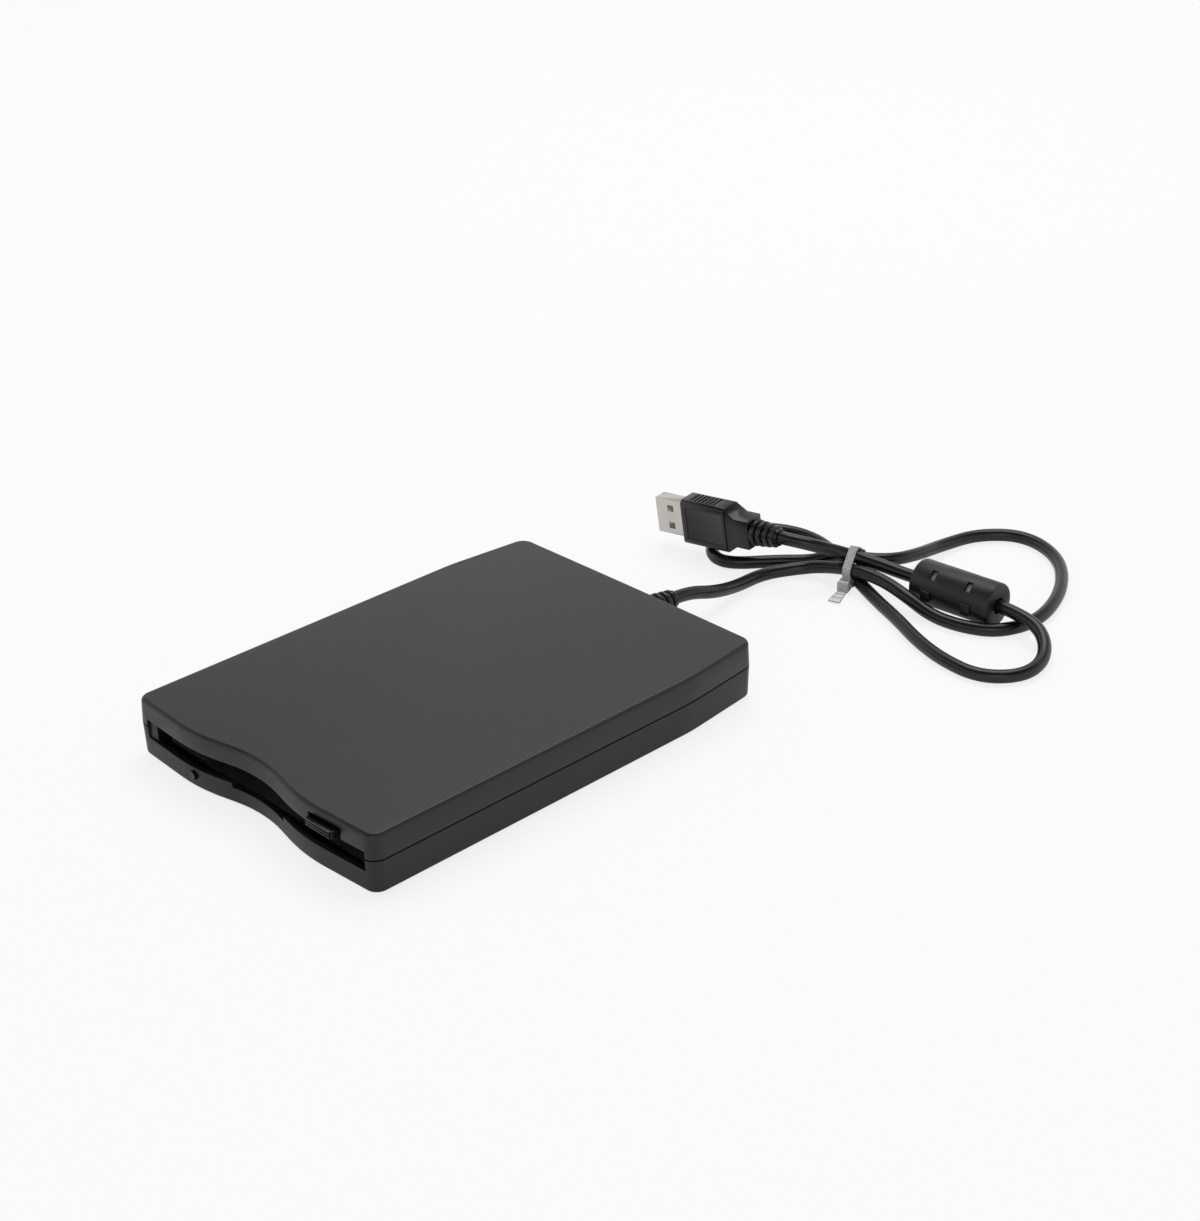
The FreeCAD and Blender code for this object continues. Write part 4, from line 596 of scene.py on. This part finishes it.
# A ring turned about X from (x, radius) points
def addTurned(name, profile, steps):
    mesh = bpy.data.meshes.new(name)
    piece = bpy.data.objects.new(name, mesh)
    scene.collection.objects.link(piece)
    shape = bmesh.new()
    corners = [shape.verts.new((x * mm, radius * mm, 0)) for x, radius in profile]
    for first, second in zip(corners, corners[1:] + corners[:1]):
        shape.edges.new((first, second))
    shape.to_mesh(mesh)
    shape.free()
    selectOnly(piece)
    bpy.ops.object.mode_set(mode="EDIT")
    bpy.ops.mesh.select_all(action="SELECT")
    bpy.ops.mesh.spin(steps=steps, angle=2 * math.pi, center=(0, 0, 0), axis=(1, 0, 0))
    bpy.ops.mesh.select_all(action="SELECT")
    bpy.ops.mesh.remove_doubles(threshold=weld * mm)
    bpy.ops.mesh.normals_make_consistent(inside=False)
    bpy.ops.object.mode_set(mode="OBJECT")
    return piece


def combine(piece, tools, operation):
    for tool in tools:
        step = piece.modifiers.new("combine", "BOOLEAN")
        step.operation = operation
        step.solver = "EXACT"
        step.object = tool
        applyAll(piece)
        bpy.data.objects.remove(tool, do_unlink=True)


def finishPiece(piece, node):
    selectOnly(piece)
    piece.data.materials.clear()
    piece.data.materials.append(finishes[slotOf[node]])
    bpy.ops.object.shade_smooth_by_angle(angle=math.radians(smoothAngle))
    rideAs(piece, node)
    made[piece.name] = piece


# From a piece's drawing place, along X from the origin, into the object's frame
def placeTurn(origin, heading, pitch=0.0, roll=0.0):
    turn = Matrix.Translation([c * mm for c in origin])
    turn = turn @ Matrix.Rotation(math.radians(heading), 4, "Z")
    turn = turn @ Matrix.Rotation(math.radians(-pitch), 4, "Y")
    return turn @ Matrix.Rotation(math.radians(-roll), 4, "X")


# Solids that only need their edges broken, as a mould leaves them: piece name and edge width
softened = {
    "upper_shell": ("caseTop", 0.12),
    "lower_shell": ("caseBase", 0.12),
    "plug_grip": ("plugBody", 0.12),
    "plug_shell": ("plugShell", 0.08),
    "strain_relief": ("cordSleeve", 0.1),
    "cord_tie": ("cordTie", 0.12),
    "rubber_feet": ("rubberFeet", 0.3),
    "case_screws": ("caseScrews", 0.12),
    "drive_screws": ("driveScrews", 0.12),
}
edgeSetup = {"sharperThan": 38.0, "segments": 2, "flatWithin": 0.2}


def addSoftened(node, name, edgeWidth, setup):
    mesh = nodes[node].data.copy()
    mesh.name = name
    piece = bpy.data.objects.new(name, mesh)
    scene.collection.objects.link(piece)
    selectOnly(piece)
    bpy.ops.object.mode_set(mode="EDIT")
    bpy.ops.mesh.select_all(action="SELECT")
    bpy.ops.mesh.remove_doubles(threshold=weld * mm)
    bpy.ops.mesh.customdata_custom_splitnormals_clear()
    bpy.ops.mesh.dissolve_limited(angle_limit=math.radians(setup["flatWithin"]))
    bpy.ops.object.mode_set(mode="OBJECT")
    bevel = piece.modifiers.new("brokenEdges", "BEVEL")
    bevel.width = edgeWidth * mm
    bevel.segments = setup["segments"]
    bevel.limit_method = "ANGLE"
    bevel.angle_limit = math.radians(setup["sharperThan"])
    bevel.use_clamp_overlap = True
    applyAll(piece)
    bpy.ops.object.shade_smooth_by_angle(angle=math.radians(smoothAngle))
    rideAs(piece, node)
    made[name] = piece


for node, (name, edgeWidth) in softened.items():
    addSoftened(node, name, edgeWidth, edgeSetup)
print("softened pieces:", len(made))

# Cross recesses in the screw heads below: (x, y, underside of the head)
screwHeads = {
    "caseScrews": [(-42, 65, 3.7), (42, 65, 3.7)],
    "driveScrews": [(-38.3, -48, 0.9), (-38.3, 40, 0.9), (43.5, -48, 0.9), (43.5, 40, 0.9)],
}
recess = {"reach": 1.25, "half": 0.26, "depth": 0.85, "below": 1.0}


def cutCrosses(name, places, sizes):
    reach, half = sizes["reach"], sizes["half"]
    tools = []
    for x, y, low in places:
        bottom, top = low - sizes["below"], low + sizes["depth"]
        for alongX, alongY in ((reach, half), (half, reach)):
            tools.append(addBlock("recess", (x - alongX, y - alongY, bottom),
                                  (x + alongX, y + alongY, top)))
    combine(made[name], tools, "DIFFERENCE")


for name, places in screwHeads.items():
    cutCrosses(name, places, recess)

# Eject button: a block with finger ribs across its front
buttonSizes = {"left": 27.2, "right": 37.6, "front": -73.05, "rear": -65.8, "bottom": 12.75,
               "top": 14.8, "edge": 0.16, "ribs": 3, "ribHeight": 0.42, "ribProud": 0.55,
               "ribInset": 0.3, "ribSunk": 1.0, "ribEdge": 0.7}


def addButton(sizes):
    left, right, edge = sizes["left"], sizes["right"], sizes["edge"]
    back = sizes["front"] + sizes["ribProud"]
    body = addBlock("ejectButton", (left, back, sizes["bottom"]),
                    (right, sizes["rear"], sizes["top"]), edge)
    pitch = (sizes["top"] - sizes["bottom"] - sizes["ribHeight"]) / (sizes["ribs"] - 1)
    ribs = []
    for i in range(sizes["ribs"]):
        low = sizes["bottom"] + i * pitch
        ribs.append(addBlock("rib", (left + sizes["ribInset"], sizes["front"], low),
                             (right - sizes["ribInset"], back + sizes["ribSunk"],
                              low + sizes["ribHeight"]),
                             edge * sizes["ribEdge"]))
    combine(body, ribs, "UNION")
    finishPiece(body, "eject_button")


addButton(buttonSizes)

# Ferrite housing: two half shells, the upper one with windows and latches
ferriteSizes = {"middle": (57.95, 151.525, 7.0), "heading": 4.967, "radius": 6.9, "wall": 1.3,
                "left": -13.6, "right": 14.5, "endWall": 1.2, "bore": 2.65, "round": 0.8,
                "roundCorner": 0.3, "steps": 72, "gap": 0.16, "spare": 2.0}
windowSizes = {"turn": 52.0, "length": 2.0, "width": 3.4, "spacing": 12.5, "sunk": 1.5, "proud": 1.0}
latchSizes = {"at": 7.2, "half": 1.6, "bottom": -2.6, "top": 0.9, "sunk": 0.5, "proud": 0.75,
              "edge": 0.2}


def ferriteWindows(radius, wall, sizes):
    half, reach = sizes["length"] / 2, sizes["width"] / 2
    windows = []
    for along in (-sizes["spacing"] / 2, sizes["spacing"] / 2):
        for side in (-1, 1):
            window = addBlock("window", (along - half, radius - wall - sizes["sunk"], -reach),
                              (along + half, radius + sizes["proud"], reach))
            window.data.transform(Matrix.Rotation(math.radians(sizes["turn"]), 4, "X"))
            if side < 0:
                window.data.transform(Matrix.Scale(-1, 4, (0, 1, 0)))
                window.data.flip_normals()
            windows.append(window)
    return windows


def ferriteLatches(radius, sizes):
    latches = []
    for along in (-sizes["at"], sizes["at"]):
        for inner, outer in ((-radius - sizes["proud"], -radius + sizes["sunk"]),
                             (radius - sizes["sunk"], radius + sizes["proud"])):
            latches.append(addBlock("latch", (along - sizes["half"], inner, sizes["bottom"]),
                                    (along + sizes["half"], outer, sizes["top"]), sizes["edge"]))
    return latches


def addFerriteHalf(name, node, sizes, upper):
    radius, wall, bore = sizes["radius"], sizes["wall"], sizes["bore"]
    left, right, end = sizes["left"], sizes["right"], sizes["endWall"]
    edge, corner = sizes["round"], sizes["round"] * sizes["roundCorner"]
    profile = [
        (left, bore), (left, radius - edge), (left + corner, radius - corner), (left + edge, radius),
        (right - edge, radius), (right - corner, radius - corner), (right, radius - edge),
        (right, bore), (right - end, bore), (right - end, radius - wall),
        (left + end, radius - wall), (left + end, bore),
    ]
    shell = addTurned(name, profile, sizes["steps"])
    spare, reach, gap = sizes["spare"], radius + sizes["spare"], sizes["gap"] / 2
    low, high = (-reach, -gap) if upper else (gap, reach)
    tools = [addBlock("otherHalf", (left - spare, -reach, low), (right + spare, reach, high))]
    if upper:
        tools += ferriteWindows(radius, wall, windowSizes)
    combine(shell, tools, "DIFFERENCE")
    if upper:
        combine(shell, ferriteLatches(radius, latchSizes), "UNION")
    shell.data.transform(placeTurn(sizes["middle"], sizes["heading"]))
    finishPiece(shell, node)


addFerriteHalf("ferriteTop", "ferrite_upper_housing", ferriteSizes, True)
addFerriteHalf("ferriteBase", "ferrite_lower_housing", ferriteSizes, False)

# Ribbed sleeves where the cord leaves the plug and the case: (distance, radius, width) of each rib
plugPlace = {"origin": (-30.8, 126.3, 11.6), "heading": 6.0, "pitch": 5.5, "roll": -3.0}
plugRibs = [(27.3, 4.25, 1.5), (29.7, 4.05, 1.5), (32.1, 3.8, 1.4), (34.3, 3.45, 1.3)]
casePlace = {"origin": (3.5, 0, 10.4), "heading": 90.0}
caseRibs = [(74.6, 4.3, 1.7), (77.2, 3.95, 1.6), (79.8, 3.55, 1.5), (82.2, 3.2, 1.4)]
ribShape = {"bore": 2.3, "shoulder": 0.35, "crown": 0.6, "steps": 40, "smoothAngle": 50.0}


def addRibs(name, ribs, place, shape):
    rings = []
    for along, radius, width in ribs:
        half = width / 2
        crown, shoulder = half * shape["crown"], radius - shape["shoulder"]
        profile = [(along - half, shape["bore"]), (along - half, shoulder),
                   (along - crown, radius), (along + crown, radius),
                   (along + half, shoulder), (along + half, shape["bore"])]
        rings.append(addTurned(name, profile, shape["steps"]))
    piece = rings[0]
    selectOnly(piece)
    for ring in rings:
        ring.select_set(True)
    bpy.ops.object.join()
    piece.data.transform(placeTurn(**place))
    piece.data.materials.append(finishes["cord_vinyl"])
    bpy.ops.object.shade_smooth_by_angle(angle=math.radians(shape["smoothAngle"]))
    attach(piece, "drive")
    made[name] = piece


addRibs("plugSleeveRibs", plugRibs, plugPlace, ribShape)
addRibs("cordSleeveRibs", caseRibs, casePlace, ribShape)
print("button, ferrite housing and sleeve ribs modelled")

# Cord: its route runs from the case to the plug
cordSetup = {"diameter": 4.1, "length": 0.601, "exit": (0.0035, 0.084, 0.0104), "order": 3,
             "lengthwise": 10, "roundness": 6}
cordRoute = [
    (3.5, 84.0, 10.4), (3.6, 90.4, 10.1), (4.4, 100.5, 6.7), (2.0, 113.0, 3.2),
    (0.4, 127.0, 2.1), (6.3, 137.5, 2.3), (13.2, 140.8, 4.1), (24.6, 141.4, 6.9),
    (35.4, 142.4, 6.8), (46.5, 140.5, 5.9), (56.5, 140.9, 2.3), (67.5, 142.2, 2.1),
    (77.5, 147.5, 2.1), (81.5, 162.0, 2.1), (74.2, 183.0, 2.1), (60.5, 200.0, 2.1),
    (43.0, 205.8, 2.1), (31.0, 196.0, 2.1), (28.2, 180.0, 2.5), (29.6, 167.0, 4.6),
    (28.8, 156.0, 6.3), (21.6, 149.4, 6.6), (14.0, 146.6, 6.9), (7.0, 144.1, 2.7),
    (-2.6, 136.6, 2.1), (-12.0, 124.9, 2.1), (-19.8, 124.9, 2.1), (-27.2, 133.0, 2.1),
    (-28.0, 144.0, 2.1), (-21.2, 152.4, 2.1), (-10.5, 157.2, 2.1), (1.0, 156.2, 2.1),
    (11.0, 150.6, 2.3), (24.2, 143.6, 2.8), (36.5, 138.2, 2.1), (50.5, 132.4, 2.1),
    (63.0, 126.2, 2.1), (76.0, 122.0, 2.1), (90.0, 121.2, 2.1), (99.0, 130.5, 2.1),
    (97.8, 142.6, 2.5), (89.6, 151.6, 5.6), (77.8, 153.25, 7.0), (58.0, 151.6, 7.15),
    (38.1, 149.8, 7.0), (30.8, 147.6, 8.2), (20.4, 145.0, 9.2), (13.3, 130.9, 15.9),
    (4.84, 130.05, 15.05),
]


def addCord(route, setup):
    curve = bpy.data.curves.new("cordTube", "CURVE")
    curve.dimensions = "3D"
    line = curve.splines.new("NURBS")
    line.points.add(len(route) - 1)
    for point, (x, y, z) in zip(line.points, route):
        point.co = (x * mm, y * mm, z * mm, 1)
    line.order_u = setup["order"]
    line.use_endpoint_u = True
    line.resolution_u = setup["lengthwise"]
    curve.bevel_depth = setup["diameter"] / 2 * mm
    curve.bevel_resolution = setup["roundness"]
    curve.use_fill_caps = True
    curve.materials.append(finishes["cord_vinyl"])
    cord = bpy.data.objects.new("cordTube", curve)
    scene.collection.objects.link(cord)
    return cord


cord = addCord(cordRoute, cordSetup)
rideAs(cord, "cord")
print("cord laid")
